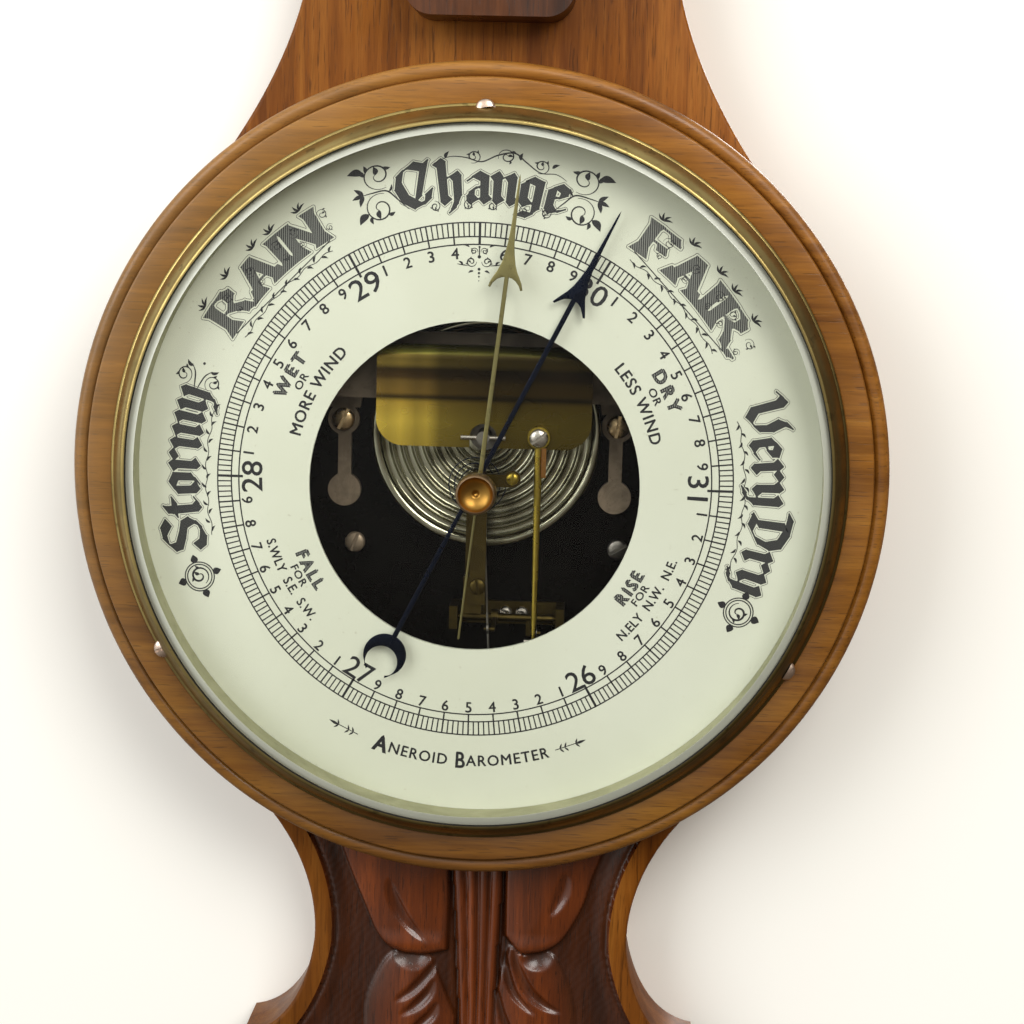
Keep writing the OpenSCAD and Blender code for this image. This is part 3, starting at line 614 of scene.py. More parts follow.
TIP, TIP_R = (0, -254), 26  # the round end at the bottom
HEAD, HEAD_R = (0, 462), 42  # the round top of the crest
BAND = 5.4  # width of the plain band round the carved panels

outline = both_sides(np.vstack([
    arc(TIP, TIP_R, -90, 20),
    bezier([(24.4, -245.1), (52, -250), (72, -222), (70, -184)]),
    bezier([(70, -178), (56, -176), (49.5, -160), (48, -146)]),
    bezier([(48, -146), (47, -128), (56, -109), (72, -96)]),
    arc((0, 0), 114, -53.3, 40.5),  # the round of the board behind the ring
    bezier([(88, 76), (73, 95), (57, 118), (52.5, 146)]),
    bezier([(52.5, 146), (50.5, 158), (49, 176), (48.5, 200)]),
    bezier([(48, 334), (48, 348), (53, 358), (64, 360)]),
    bezier([(64, 366), (67, 404), (50, 434), (28.1, 430.8)]),
    arc(HEAD, HEAD_R, -48, 90),
]))
lower_panel = both_sides(np.vstack([
    arc(TIP, TIP_R - BAND, -90, 12),
    bezier([(21.2, -240.2), (48, -244), (65.5, -216), (64.6, -186)]),
    bezier([(62, -181.6), (53, -178), (44.5, -162), (42.6, -146)]),
    bezier([(42.6, -146), (41.6, -128), (50, -106), (64, -98)]),
]))
crest_panel = both_sides(np.vstack([
    [(0, 352)],
    bezier([(43, 352), (45, 359), (50, 365), (58.4, 366)], 10),
    bezier([(58.6, 368), (60, 402), (46, 427), (25, 424.6)]),
    arc(HEAD, HEAD_R - BAND, -44, 90),
]))


def soft_edge(front, soft, n):
    """Inset and depth along an edge rounded by soft."""
    return [(soft * (1 - math.cos(t)), front - soft + soft * math.sin(t)) for t in np.linspace(0, math.pi / 2, n)]


def board():
    soft, back_soft = 1.1, 0.5
    bore, cover, rebate, well = circle(95), circle(36.0, 128), circle(30.0, 128), 8
    back, front = back_front("backboard")
    shell = Shell()
    edge = [(back_soft, back), (0, back + back_soft)] + soft_edge(front, soft, 6)
    shell.rows([[(x, d, z) for x, z in inset(outline, i)] for i, d in edge])
    shell.face(front, inset(outline, soft), bore, lower_panel, crest_panel)
    # the hanging plate's bed, open at the top, and the cover's round bed are cut in the back
    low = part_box("hanging_plate")[0].z * 1000 - CASE[1] - 0.15
    bed = both_sides(np.array([(0, low), (9.15, low), (9.15, 504.5), (9.15, 520), (0, 520)]))
    shell.face(back, inset(outline, back_soft), cover, bed, without=bed)
    shell.wall(cover, back, back + 3)
    shell.face(back + 3, cover, rebate)
    shell.wall(rebate, back + 3, well)
    shell.face(well, bore, rebate)
    shell.wall(bore, well, front)
    piece("case_board", shell, M["board"], "backboard", sharp=40, closed=False)


def lens(d, edge, dome, width):
    """Rise of a leaf at a distance inside its edge."""
    d = np.maximum(d, 0)
    return edge * smoothstep(d, 0, 0.85) + dome * (1 - np.exp(-d / width))


def cut(p, line, width, depth):
    """A gouge along a smooth line: how much it takes away."""
    d, _, t = nearest(p, curve(*line))
    w = width * np.sin(np.pi * np.clip(t, 0.02, 0.98)) ** 0.6
    return depth * np.clip(1 - (d / np.maximum(w, 0.05)) ** 2, 0, 1) * (w / width)


def leaf(p, loop):
    """Distance inside a leaf's edge."""
    d, _, _ = nearest(p, loop, closed=True)
    return np.where(inside(p, loop), d, -d)


def curve(*points):
    """A smooth line through points (Catmull-Rom)."""
    q = np.array([points[0], *points, points[-1]], float)
    out = []
    for a, b, c, d in zip(q, q[1:], q[2:], q[3:]):
        t = np.linspace(0, 1, 8, endpoint=False)[:, None]
        out.append(0.5 * ((2 * b) + (c - a) * t + (2 * a - 5 * b + 4 * c - d) * t**2 + (3 * b - a - 3 * c + d) * t**3))
    return np.vstack([*out, q[-1:]])


def framed(d):
    """The border groove and the ground inside it."""
    groove_w = 1.9
    half = groove_w / 2
    groove = 1.7 * (1 - np.abs(np.clip(d / half, 0, 2) - 1)) * (d < groove_w)
    ground = BOARD - 1.15 - 0.5 * smoothstep(d, groove_w, 6)
    rim = np.where(d < half, BOARD - 0.02 - d * 1.25, BOARD - 1.0 - groove * 0.45)
    return np.where(d < groove_w, np.minimum(rim, BOARD), ground)


def fan(p, centre, ribs, reach, spread, rim, dome, boss_r):
    """Petals round a centre: distance from it, which points they cover, and their rise."""
    x, z = p[:, 0], p[:, 1] - centre
    rho = np.hypot(x, z)
    th = np.arctan2(x, -z) if centre < 0 else np.arctan2(x, z)
    ridge = np.abs(np.cos(th * ribs)) ** 0.5
    edge = reach(np.abs(th), ridge)
    up = lens(np.minimum(edge - rho, rim), 1.2, *dome)
    return rho, (rho < edge) & (np.abs(th) < spread) & (rho > boss_r), up, ridge


CARVING_TOP = BOARD + 2.1  # nothing carved stands further out than this
LOWER_LEFT = np.vstack([
    curve((-45, -100), (-40, -116.5), (-36, -127), (-32.2, -136), (-29, -143.5), (-24.5, -148.4), (-18, -150.2),
          (-12, -150), (-6.5, -148.5)),
    [(-6.2, -100)],
])
LOWER_RIGHT = np.vstack([
    curve((45, -100), (40.3, -115), (37.2, -124), (34.5, -133), (30, -141.8), (26, -146.2), (20, -148.6),
          (15, -148.3), (10.5, -143)),
    [(9.6, -100)],
])
FOOT_LEFT = np.vstack([
    curve((-12, -149), (-23.5, -149.4), (-29.5, -158), (-32.3, -167), (-32, -178), (-27, -190), (-18, -199),
          (-7, -204)),
    [(-3.5, -170)],
])
FOOT_RIGHT = np.vstack([
    curve((12, -146), (24.5, -147.6), (29.6, -154), (32.6, -163), (33.4, -175), (29, -188), (20, -198), (8, -204)),
    [(5.5, -170)],
])
GOUGES = (
    ([(-22.4, -165), (-17, -161), (-12.6, -156), (-10.8, -152.4)], 2.0),
    ([(-20.8, -169.4), (-16, -166), (-12.5, -162), (-10.8, -157.8)], 2.0),
    ([(-20, -176), (-15.5, -173), (-11.5, -169), (-9.6, -165)], 2.0),
    ([(13.4, -147), (15, -153), (18.6, -160), (23.5, -164.5), (28.2, -166.8)], 2.1),
    ([(10.9, -148.5), (11.8, -155), (14.4, -161.5), (20.4, -167.6)], 1.7),
    ([(9, -160), (10.5, -168), (14, -175), (19, -180)], 1.7),
    ([(-20, -187), (-14, -184), (-9, -178)], 1.8),
    ([(22, -189), (15, -185), (10, -179)], 1.8),
)


def lower_height(p, d):
    x, z = p[:, 0], p[:, 1]
    h = framed(d) + 0.05 * np.sin(x * 2.3 + np.sin(z * 0.9) * 1.4) * np.sin(z * 1.7) * (d > 2)
    # two big leaves whose lips roll forward at the bottom
    for loop, fold in (
        (LOWER_LEFT, [(-25, -126), (-23.5, -132), (-19.5, -139), (-13.5, -145)]),
        (LOWER_RIGHT, [(28.8, -122), (28, -128), (24.6, -135.5)]),
    ):
        e = leaf(p, loop)
        lip = smoothstep(z, -141, -147) * smoothstep(e, 0.3, 2.5) * 0.9
        h = np.where(e > 0, np.maximum(h, BOARD - 1.5 + lens(e, 1.5, 1.5, 4.5) + lip), h)
        h = h - np.where(e > 0, cut(p, fold, 2.3, 1.3), 0)
    # lower leaves and bowls, below the lips
    left_off, right_off = leaf(p, LOWER_LEFT) < 0, leaf(p, LOWER_RIGHT) < 0
    for loop, off in ((FOOT_LEFT, left_off), (FOOT_RIGHT, right_off)):
        e = leaf(p, loop)
        lean = np.clip((np.abs(x) - 18) / 14, 0, 1) * 0.9
        h = np.where((e > 0) & off, np.maximum(h, BOARD - 1.6 + lens(e, 1.1, 1.7, 5.0) - lean), h)
    for cx, cz, rx, rz, off in ((-17.6, -150.4, 6.4, 4.4, left_off), (20.6, -149.6, 5.0, 4.0, right_off)):
        q = np.hypot((x - cx) / rx, (z - cz) / rz)
        h = h - np.where((q < 1) & off, 1.7 * (1 - q**2), 0)
    for line, w in GOUGES:
        h = h - cut(p, line, w, 1.5)
    # the ribbed stem
    t = np.clip((-112 - z) / 90, 0, 1)
    half = 8.4 - 4.6 * t**0.8 - 1.4 * smoothstep(t, 0.7, 1)
    u = (x - (1.9 + 0.9 * t)) / half
    rib = np.abs(np.sin(np.pi * 2.0 * (u + 1) * 0.98)) ** 0.55
    stem = BOARD - 0.6 + 2.2 * rib * (1 - 0.25 * u**2)
    above = z > -214
    h = np.where((np.abs(u) < 1) & above, np.maximum(stem, h - 1.2 * (1 - rib)), h)
    h = h - np.where((np.abs(u) >= 1) & (np.abs(u) < 1.25) & above, 0.8 * (1.25 - np.abs(u)) / 0.25, 0)
    # a fan of small petals at the foot
    boss_r = 5.5
    rho, on, up, ridge = fan(p, -214, 7.85, lambda th, k: 43 - 8 * th + 3.0 * k, 1.75, 6, (0.9, 3), 5)
    up = up * (0.55 + 0.45 * ridge)
    h = np.where(on & (d > 2.6), np.maximum(h, BOARD - 1.5 + up * 1.25), h)
    boss = BOARD + 1.0 * np.sqrt(np.clip(1 - (rho / boss_r) ** 2, 0, 1)) + 0.4
    return np.minimum(np.where(rho < boss_r, boss, h), CARVING_TOP)


CREST_LEAF = (
    (4, 412), (20, 396), (34, 388), (47, 392), (50, 378), (40, 368), (22, 370), (8, 384), (3, 400),
)


def crest_height(p, d):
    boss_r = 7
    rho, on, up, ridge = fan(p, 418, 10.47, lambda th, k: 70 - 22 * th**1.1 + 4.0 * k, 1.35, 8, (1.2, 4), 6)
    up = up * (0.5 + 0.5 * ridge)
    h = framed(d)
    h = np.where(on & (d > 2.6), np.maximum(h, BOARD - 1.5 + up * 1.2), h)
    for side in (-1, 1):
        e = leaf(p, curve(*((side * x, z) for x, z in CREST_LEAF)))
        h = np.where(e > 0, np.maximum(h, BOARD - 1.5 + lens(e, 1.4, 1.5, 4)), h)
        for k in range(3):
            line = [
                (side * (10 + 11 * k), 402 - 6 * k), (side * (18 + 10 * k), 388 - 3 * k), (side * (28 + 8 * k), 378),
            ]
            h = h - np.where(e > 0, cut(p, line, 1.8, 1.2), 0)
    boss = BOARD + 0.6 + 1.3 * np.sqrt(np.clip(1 - (rho / boss_r) ** 2, 0, 1))
    return np.minimum(np.where(rho < boss_r, boss, h), CARVING_TOP)


board()
relief("lower_leafwork", lower_panel, lower_height, 0.55, "lower_carving")
relief("crest_leafwork", crest_panel, crest_height, 0.7, "crest_carving")


def ring():
    """The turned wooden ring: a flat face, a quirk, a bead and a cove."""
    r, bore, bead = 118.0, 102.3, 2.4
    foot = BOARD + 0.02
    face = [(bore + 0.3, RING), (r - 5.1, RING), (r - 4.8, RING - 0.5), (r - 4.7, RING - 2.6), (r - 4.4, RING - 3.2)]
    turns = [math.radians(a) for a in range(140, -66, -8)]
    profile = [(bore, foot), (bore, RING - 0.3), (bore + 0.3, RING)] + rounded(face, [0.35, 0.2, 0.4])
    profile += [(r - bead + bead * math.cos(a), RING - 4.4 + bead * math.sin(a)) for a in turns]
    profile += [(r - 1.9, RING - 8), (r - 2.1, RING - 9.5), (r - 2.1, foot)]
    lathe("ring_turning", profile, M["ring"], "dial_surround", segs=384, sharp=50)


ring()

# ---------------------------------------------------------------- every other CAD node keeps its shape

LOOK = {
    "walnut_board": "board", "walnut_ring": "ring", "walnut_carved": "box", "brass_bezel": "bezel",
    "brass_aged": "brass", "brass_dark": "brass_dark", "brass_knob": "knob", "steel_screw": "steel",
    "steel_blued": "blued", "steel_dull": "steel_dull", "iron_black": "iron", "base_black": "lacquer",
    "capsule_metal": "capsule", "spring_bronze": "spring", "copper": "copper", "dial_white": "dial",
    "scale_ivory": "ivory", "glass_clear": "glass", "glass_tube": "tube", "quicksilver": "mercury",
}
OWN_LOOK = {
    "sight_ring": "sight", "rocking_bracket": "brass_dark", "rocking_bar": "brass_dark", "arbor_cock": "brass_dark",
}
for name, ob in CAD.items():
    ob.data.materials.clear()
    ob.data.materials.append(M[OWN_LOOK.get(name, LOOK[SLOT_OF[name]])])

# ---------------------------------------------------------------- bezel, glass and knob


def bezel():
    """A spun brass rim: a flat foot, a long slope and a rolled lip over the glass."""
    foot, rim, r = RING, back_front("bezel")[1], radius_of("bezel")
    slope_r, slope_d = r - 0.8, foot + 1.35
    profile = [
        (102.0, foot - 2), (102.0, foot), (r, foot), (r, foot + 0.75), (r - 0.25, foot + 1.15), (slope_r, slope_d),
    ]
    for t in np.linspace(0.1, 1, 9):
        rise = (rim - 0.9 - foot - 1.35) * (t + 0.10 * math.sin(math.pi * t))
        profile.append((slope_r - (r - 102.5) * t, slope_d + rise))
    profile += [
        (101.5, rim - 0.45), (101.25, rim - 0.15), (100.9, rim), (100.35, rim - 0.05), (100.1, rim - 0.4),
        (100.05, rim - 0.8), (100.8, rim - 0.85), (100.8, foot - 2),
    ]
    ob = lathe("bezel_spinning", profile, M["bezel"], "bezel", segs=360, sharp=40)
    # the lip over the glass and the inside of the foot are painted dark as shadow gaps
    two_part(
        ob, M["lip_shadow"], lambda c: from_axis(c, CASE) < 100.6 or from_axis(c, CASE) < 102.2 and -c.y < foot + 1
    )


def front_glass():
    """Bevelled plate glass with a hole for the knob's stem."""
    seg, edge_r, flat_r, step = 320, 100.6, 97.9, 1.3
    back, front = back_front("glass")
    hole = circle(3.0, 64, (KNOB[0] - CASE[0], KNOB[1] - CASE[1]))
    edge = circle(edge_r, seg)
    profile = [(edge_r, back), (edge_r, front - step), (98.1, front - 0.06), (flat_r, front)]
    shell = Shell()
    shell.rows([[(x * r / edge_r, d, z * r / edge_r) for x, z in edge] for r, d in profile])
    shell.face(front, circle(flat_r, seg), hole)
    shell.face(back, edge, hole)
    shell.wall(hole, back, front)
    ob = piece("front_glass", shell, M["glass"], "glass", sharp=8)
    two_part(ob, M["bevel"], lambda c: from_axis(c, CASE) > 97.95 and -c.y > front - step + 0.01)


def milled_knob():
    """A dished knob with a milled rim, on a stem with a collar."""
    low, top = back_front("set_knob")
    r, stem_r, collar_r = radius_of("set_knob"), 1.5, 3.0
    stem = [
        (0.02, low), (stem_r, low), (stem_r, low + 1.25), (collar_r, low + 1.25), (collar_r, low + 1.95),
        (stem_r, low + 1.95), (stem_r, top - 6.35),
    ]
    rim = [
        (4.6, top - 6.3), (r - 0.35, top - 6.2), (r - 0.05, top - 5.8), (r, top - 5.2), (r, top - 3.5), (r, top - 1.2),
        (r - 0.1, top - 0.6), (r - 0.4, top - 0.15), (r - 0.7, top),
    ]
    dish = [
        (r - 0.95, top - 0.2), (r - 1.15, top - 0.75), (r - 1.7, top - 1.4), (3.2, top - 1.95), (2.2, top - 2.35),
        (1.4, top - 2.5), (1.0, top - 2.55), (0.75, top - 2.9), (0.45, top - 3.2), (0.02, top - 3.3),
    ]
    teeth, seg = 72, 432
    a = np.arange(seg) * 2 * np.pi / seg
    mill = 0.11 * (0.5 - 0.5 * np.cos(teeth * a))
    shell = Shell()
    rows = []
    for k, (pr, d) in enumerate(stem + rim + dish):
        q = pr - (mill if len(stem) < k < len(stem) + len(rim) else 0 * a)
        rows.append(list(zip(q * np.sin(a), np.full(seg, d), q * np.cos(a))))
    shell.rows(rows)
    ob = piece("milled_knob", shell, M["knob"], "set_knob", KNOB, sharp=50)
    two_part(ob, M["milled"], lambda c: from_axis(c, KNOB) > r - 1.0)


bezel()
front_glass()
milled_knob()

# ---------------------------------------------------------------- hands


def turned_by(q, a):
    """Points turned clockwise by a in degrees."""
    q = np.asarray(q, float).reshape(-1, 2)
    c, s = math.cos(math.radians(a)), math.sin(math.radians(a))
    return np.c_[q[:, 0] * c + q[:, 1] * s, -q[:, 0] * s + q[:, 1] * c]


def hand(name, node, at, angle, mat, hub, *half):
    """A hand cut from thin plate, with softened edges; half is the outline of its right side."""
    back, front = back_front(node)
    half = np.vstack(half)
    loop = np.vstack([half, [(-x, z) for x, z in half[::-1] if x > 1e-6]])
    area2 = np.sum(loop[:, 0] * np.roll(loop[:, 1], -1) - np.roll(loop[:, 0], -1) * loop[:, 1])
    loop = turned_by(loop if area2 > 0 else loop[::-1], angle)
    hole, soft = turned_by(circle(hub, 40), angle), 0.14
    shell = Shell()
    shell.rows([[(x, d, z) for x, z in inset(loop, i)] for i, d in [(0, back)] + soft_edge(front, soft, 5)])
    shell.wall(hole, back, front)
    shell.face(front, inset(loop, soft), hole)
    shell.face(back, loop, hole)
    piece(name, shell, mat, node, at, sharp=60)


def arrow(tip, notch, barb, reach, neck):
    """Half of an arrowhead, from its tip down to the shaft."""
    return [
        (0, tip), (0.25, tip - 1.5), (0.45, tip - 8), (0.66, notch + 14), (0.95, notch + 9.6), (1.4, notch + 6.6),
        (2.0, notch + 3.9), (2.75, notch + 1.9), (3.6, notch + 0.3), (4.4, notch - 1.2), (reach, barb),
        (reach - 0.6, barb - 0.25), (3.7, notch - 1.9), (2.6, notch - 0.7), (1.5, notch - 0.1), (neck, notch + 0.1),
    ]


def hub_sides(r):
    """The right side of a round hub, above and below its middle."""
    a = np.radians(np.linspace(78, 12, 7))
    return np.vstack([round_points((0, 0), r, a), round_points((0, 0), r, -a[::-1])])


def crescent():
    """The right half of the moon on the tail."""
    outer = round_points((0, -55.6), 6.3, np.radians(np.linspace(84, -62, 26)))
    inner = round_points((0, -57.9), 4.75, np.radians(np.linspace(-50, 90, 22)))
    moon = np.vstack([outer, inner])
    return moon[moon[:, 0] > 0.02]


hand("set_hand_plate", "set_hand", KNOB, 6.2, M["brass_hand"], 1.53,
     arrow(89.6, 60.6, 57.6, 4.9, 0.62), [(0.64, 20), (0.66, 3.3)], hub_sides(3.0),
     [(0.36, -3.3), (0.32, -30), (0.3, -44.0), (0.0, -44.5)])
hand("pressure_hand_plate", "pressure_hand", AXIS, 26.5, M["blued"], 2.23,
     arrow(89.6, 61.0, 58.2, 5.2, 0.72), [(0.74, 40), (0.7, 3.6)], hub_sides(3.4),
     [(0.6, -3.8), (0.75, -49.0)], crescent(), [(0.0, -53.15)])

# ---------------------------------------------------------------- screws, capsule and lever


def screw(name, node, centre, at, r, seat, height, slot_angle, mat):
    """A round-headed screw; its slot is cut between rows of the mesh."""
    w, deep, cols = r * 0.15, seat + height * 0.42, 15
    side = np.linspace(w, r * 0.998, 8)
    ys = [*-side[::-1], -w, w, *side]
    points = []
    for k, y in enumerate(ys):
        for t in np.linspace(-1, 1, cols):
            x = t * math.sqrt(r * r - y * y)
            d = seat + height * (0.5 + 0.5 * math.sqrt(max(0, 1 - min(1, math.hypot(x, y) / r) ** 2)))
            points.append((x, min(d, deep) if k in (8, 9) else d, y))
    ids = np.arange(len(ys) * cols).reshape(len(ys), cols)
    loop = [*ids[0], *ids[1:, -1], *ids[-1, ::-1][1:], *ids[1:-1, 0][::-1]]
    n, m = len(points), len(loop)
    points += [(points[i][0], seat - 0.02, points[i][2]) for i in loop]
    faces = grid_faces(len(ys), cols)
    faces += [(loop[i], loop[(i + 1) % m], n + (i + 1) % m, n + i) for i in range(m)]
    faces.append(list(range(n, n + m)))
    c, s = math.cos(math.radians(slot_angle)), math.sin(math.radians(slot_angle))
    shell = Shell()
    shell.add([(x * c - z * s, d, x * s + z * c) for x, d, z in points], faces)
    piece(name, shell, mat, node, (centre[0] + at[0], centre[1] + at[1]), sharp=40, merge=1e-7)


for k, (a, slot) in enumerate(((90, 12), (-30, 62), (210, 20))):
    at = (104.2 * math.cos(math.radians(a)), 104.2 * math.sin(math.radians(a)))
    screw(f"bezel_screw_{k}", "bezel_screws", CASE, at, 2.85, 44.4, 2.0, slot, M["steel_pink"])
for k, (x, z, slot, look) in enumerate((
    (42.5, -21.1, 30, "steel_dull"), (-37.7, -21.3, 70, "iron"),
    (44, 46, 10, "steel_dull"), (-42, 46, 60, "steel_dull"),
)):
    screw(f"base_screw_{k}", "base_plate_screws", AXIS, (x, z), 3.1, 10.5, 2.0, slot, M[look])
for k, (x, slot) in enumerate(((-41.4, 65), (41.4, 80))):
    screw(f"bridge_screw_{k}", "bridge_screws", AXIS, (x, 16.5), 3.4, 13.0, 2.3, slot, M["steel_warm"])
screw("lever_screw_head", "lever_screw", AXIS, (18.3, 14.5), 2.75, 33.55, 2.1, 38, M["steel"])
screw("cock_screw_head", "cock_screw", AXIS, (1.6, -29.5), 2.4, 35.0, 1.5, 100, M["brass_dark"])
screw("stud_screw_head", "hairspring_stud_screw", AXIS, (11, 2.5), 1.85, 35.0, 1.2, 82, M["brass"])


def capsule():
    """The vacuum box: a rimmed can with a rippled lid."""
    back, front = back_front("capsule")
    pitch, first = 3.2, 6
    can = [
        (0.02, back), (4.9, back), (4.9, back + 1.2), (33.2, back + 1.4), (34.3, back + 1.8), (34.35, front - 1.6),
        (34.1, front - 1.2), (33.6, front - 0.95), (32.6, front - 0.9), (32.1, front - 1.2),
    ]
    lid = []
    for r in np.arange(first, 31.6, 0.17)[::-1]:
        lid.append((r, front - 1.75 + 1.1 * (0.5 + 0.5 * math.cos(2 * math.pi * (r - first) / pitch)) ** 2.2))
    boss = [(5.4, front - 0.5), (4.6, front - 0.35), (0.02, front - 0.35)]
    lathe("capsule_shell", can + lid + boss, M["capsule"], "capsule", centre_of("capsule"), sharp=50)


def lever():
    """A tapered brass rod with a flat eye under its screw."""
    lo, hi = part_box("main_lever")
    x0 = (lo.x + hi.x) * 500 - AXIS[0]
    back, front = back_front("main_lever")
    top, low = hi.z * 1000 - AXIS[1] - 3.5, lo.z * 1000 - AXIS[1]
    rings, segs, thin, thick = 14, 20, 0.78, 1.22
    rows = []
    for k, z in enumerate(np.linspace(low, top - 2.2, rings)):
        w = thin + (thick - thin) * (k / (rings - 1)) if k else 0.45
        turn = np.arange(segs) * 2 * np.pi / segs
        rows.append([
            (x0 + w * math.cos(a), (back + front) / 2 + (front - back) / 2 * math.sin(a) * 0.98, z) for a in turn
        ])
    shell = Shell()
    shell.rows(rows)
    last = (rings - 1) * segs
    shell.faces += [list(range(segs)), list(range(last, last + segs))[::-1]]
    piece("lever_rod", shell, M["brass"], "main_lever", AXIS, sharp=50)
    bore, r = 1.53, 3.45
    eye = [
        (bore, back), (r - 0.25, back), (r, back + 0.25), (r, front - 0.3), (r - 0.25, front), (bore, front),
        (bore, back),
    ]
    lathe("lever_eye", eye, M["brass"], "main_lever", (AXIS[0] + x0, AXIS[1] + top), segs=64, hides=False)


capsule()
lever()

# ---------------------------------------------------------------- dial print


def polar(mid, base, outward=True):
    """Maps lettering u along and v up to the dial, about an angle clockwise from the top."""
    side = 1 if outward else -1

    def place(q):
        q = np.asarray(q, float).reshape(-1, 2)
        r, a = base + side * q[:, 1], math.radians(mid) + side * q[:, 0] / base
        return np.c_[r * np.sin(a), r * np.cos(a)]

    return place


def flat(q):
    return np.asarray(q, float).reshape(-1, 2)


def moved(x, z):
    return lambda q: np.asarray(q) + (x, z)


LIFT = 0.002  # between strokes that overlap, so that no two lie in one plane


class Ink(Shell):
    """Flat strokes of print, drawn in u and v and set on the dial by a place."""

    def __init__(self):
        super().__init__()
        self.lift, self.count = [], 0

    def fill(self, q, faces, place=flat):
        self.add(place(q).tolist(), faces)
        self.lift += [LIFT * (self.count % 16)] * len(q)
        self.count += 1

    def strip(self, a, b, place=flat):
        """The band between two lines of the same number of points."""
        m = len(a)
        self.fill(np.vstack([a, b]), [(i, i + 1, m + i + 1, m + i) for i in range(m - 1)], place)

    def line(self, q, width, place=flat, taper=False):
        """A pen line; a tapered one is thickest in its middle."""
        q = np.asarray(q, float)
        d = np.gradient(q, axis=0)
        d /= np.maximum(np.hypot(*d.T), 1e-9)[:, None]
        w = np.full(len(q), width / 2.0)
        if taper:
            w *= 0.25 + 0.75 * np.sin(np.pi * np.linspace(0.03, 0.97, len(q)))
        n = np.c_[-d[:, 1], d[:, 0]] * w[:, None]
        self.strip(q - n, q + n, place)

    def ring(self, r, width):
        t = np.radians(np.linspace(0, 360, 289))
        self.strip(*([[k * math.sin(x), k * math.cos(x)] for x in t] for k in (r - width / 2, r + width / 2)))

    def dot(self, c, r, place=flat):
        self.fill(circle(r, 10, c), [list(range(10))], place)

    def leaf(self, root, angle, length, width, place=flat, bend=0.25):
        t = np.linspace(0, 1, 9)
        half = width * np.sin(np.pi * t**0.75) / 2
        mid = np.c_[length * t, bend * length * np.sin(np.pi * t) * 0.5]
        c, s = math.cos(math.radians(angle)), math.sin(math.radians(angle))
        turn = np.array([[c, s], [-s, c]])
        self.strip((mid + np.c_[0 * t, half]) @ turn + root, (mid - np.c_[0 * t, half]) @ turn + root, place)

    def scroll(self, c, r, start, place, side=1, width=0.32):
        """A stalk that winds in to a leaf in the heart of a spiral round c."""
        t = np.linspace(0, 1, 36)
        a = math.radians(start) + side * 1.4 * 2 * math.pi * t
        k = r * ((1 - t) ** 0.8 * 0.86 + 0.14)
        q = np.array(c) + np.c_[k * np.cos(a), k * np.sin(a)]
        self.line(q, width, place, taper=True)
        for i, length, w in ((-1, 0.62, 0.34), (10, 0.5, 0.24), (17, 0.5, 0.24)):
            self.leaf(q[i], math.degrees(a[i]) + side * 60, r * length, r * w, place)

    def show(self, name, mat, rise=0.045, at=SCALE, node="dial_plate"):
        p = np.array(self.points)
        self.points = np.c_[p[:, 0], back_front(node)[1] + rise + np.array(self.lift), p[:, 1]]
        piece(name, self, mat, node, at, closed=False, merge=0, hides=False)


def nib(path, width, angle, thin):
    """Quads that a broad pen leaves along a path."""
    c, s = math.cos(math.radians(angle)), math.sin(math.radians(angle))
    wide, cross = np.array([c, s]) * width / 2, np.array([-s, c]) * thin / 2
    corners = np.array([-wide - cross, wide - cross, wide + cross, -wide + cross])
    path = np.array(path, float)
    out = []
    for a, b in zip(path, path[1:]):
        d = b - a
        side = wide if abs(d[0] * wide[1] - d[1] * wide[0]) > abs(d[0] * cross[1] - d[1] * cross[0]) else cross
        quad = np.array([a - side, a + side, b + side, b - side])
        out.append(quad if np.cross(quad[1] - quad[0], quad[2] - quad[1]) > 0 else quad[::-1])
        out.append(b + corners)
    out.append(path[0] + corners)
    return out


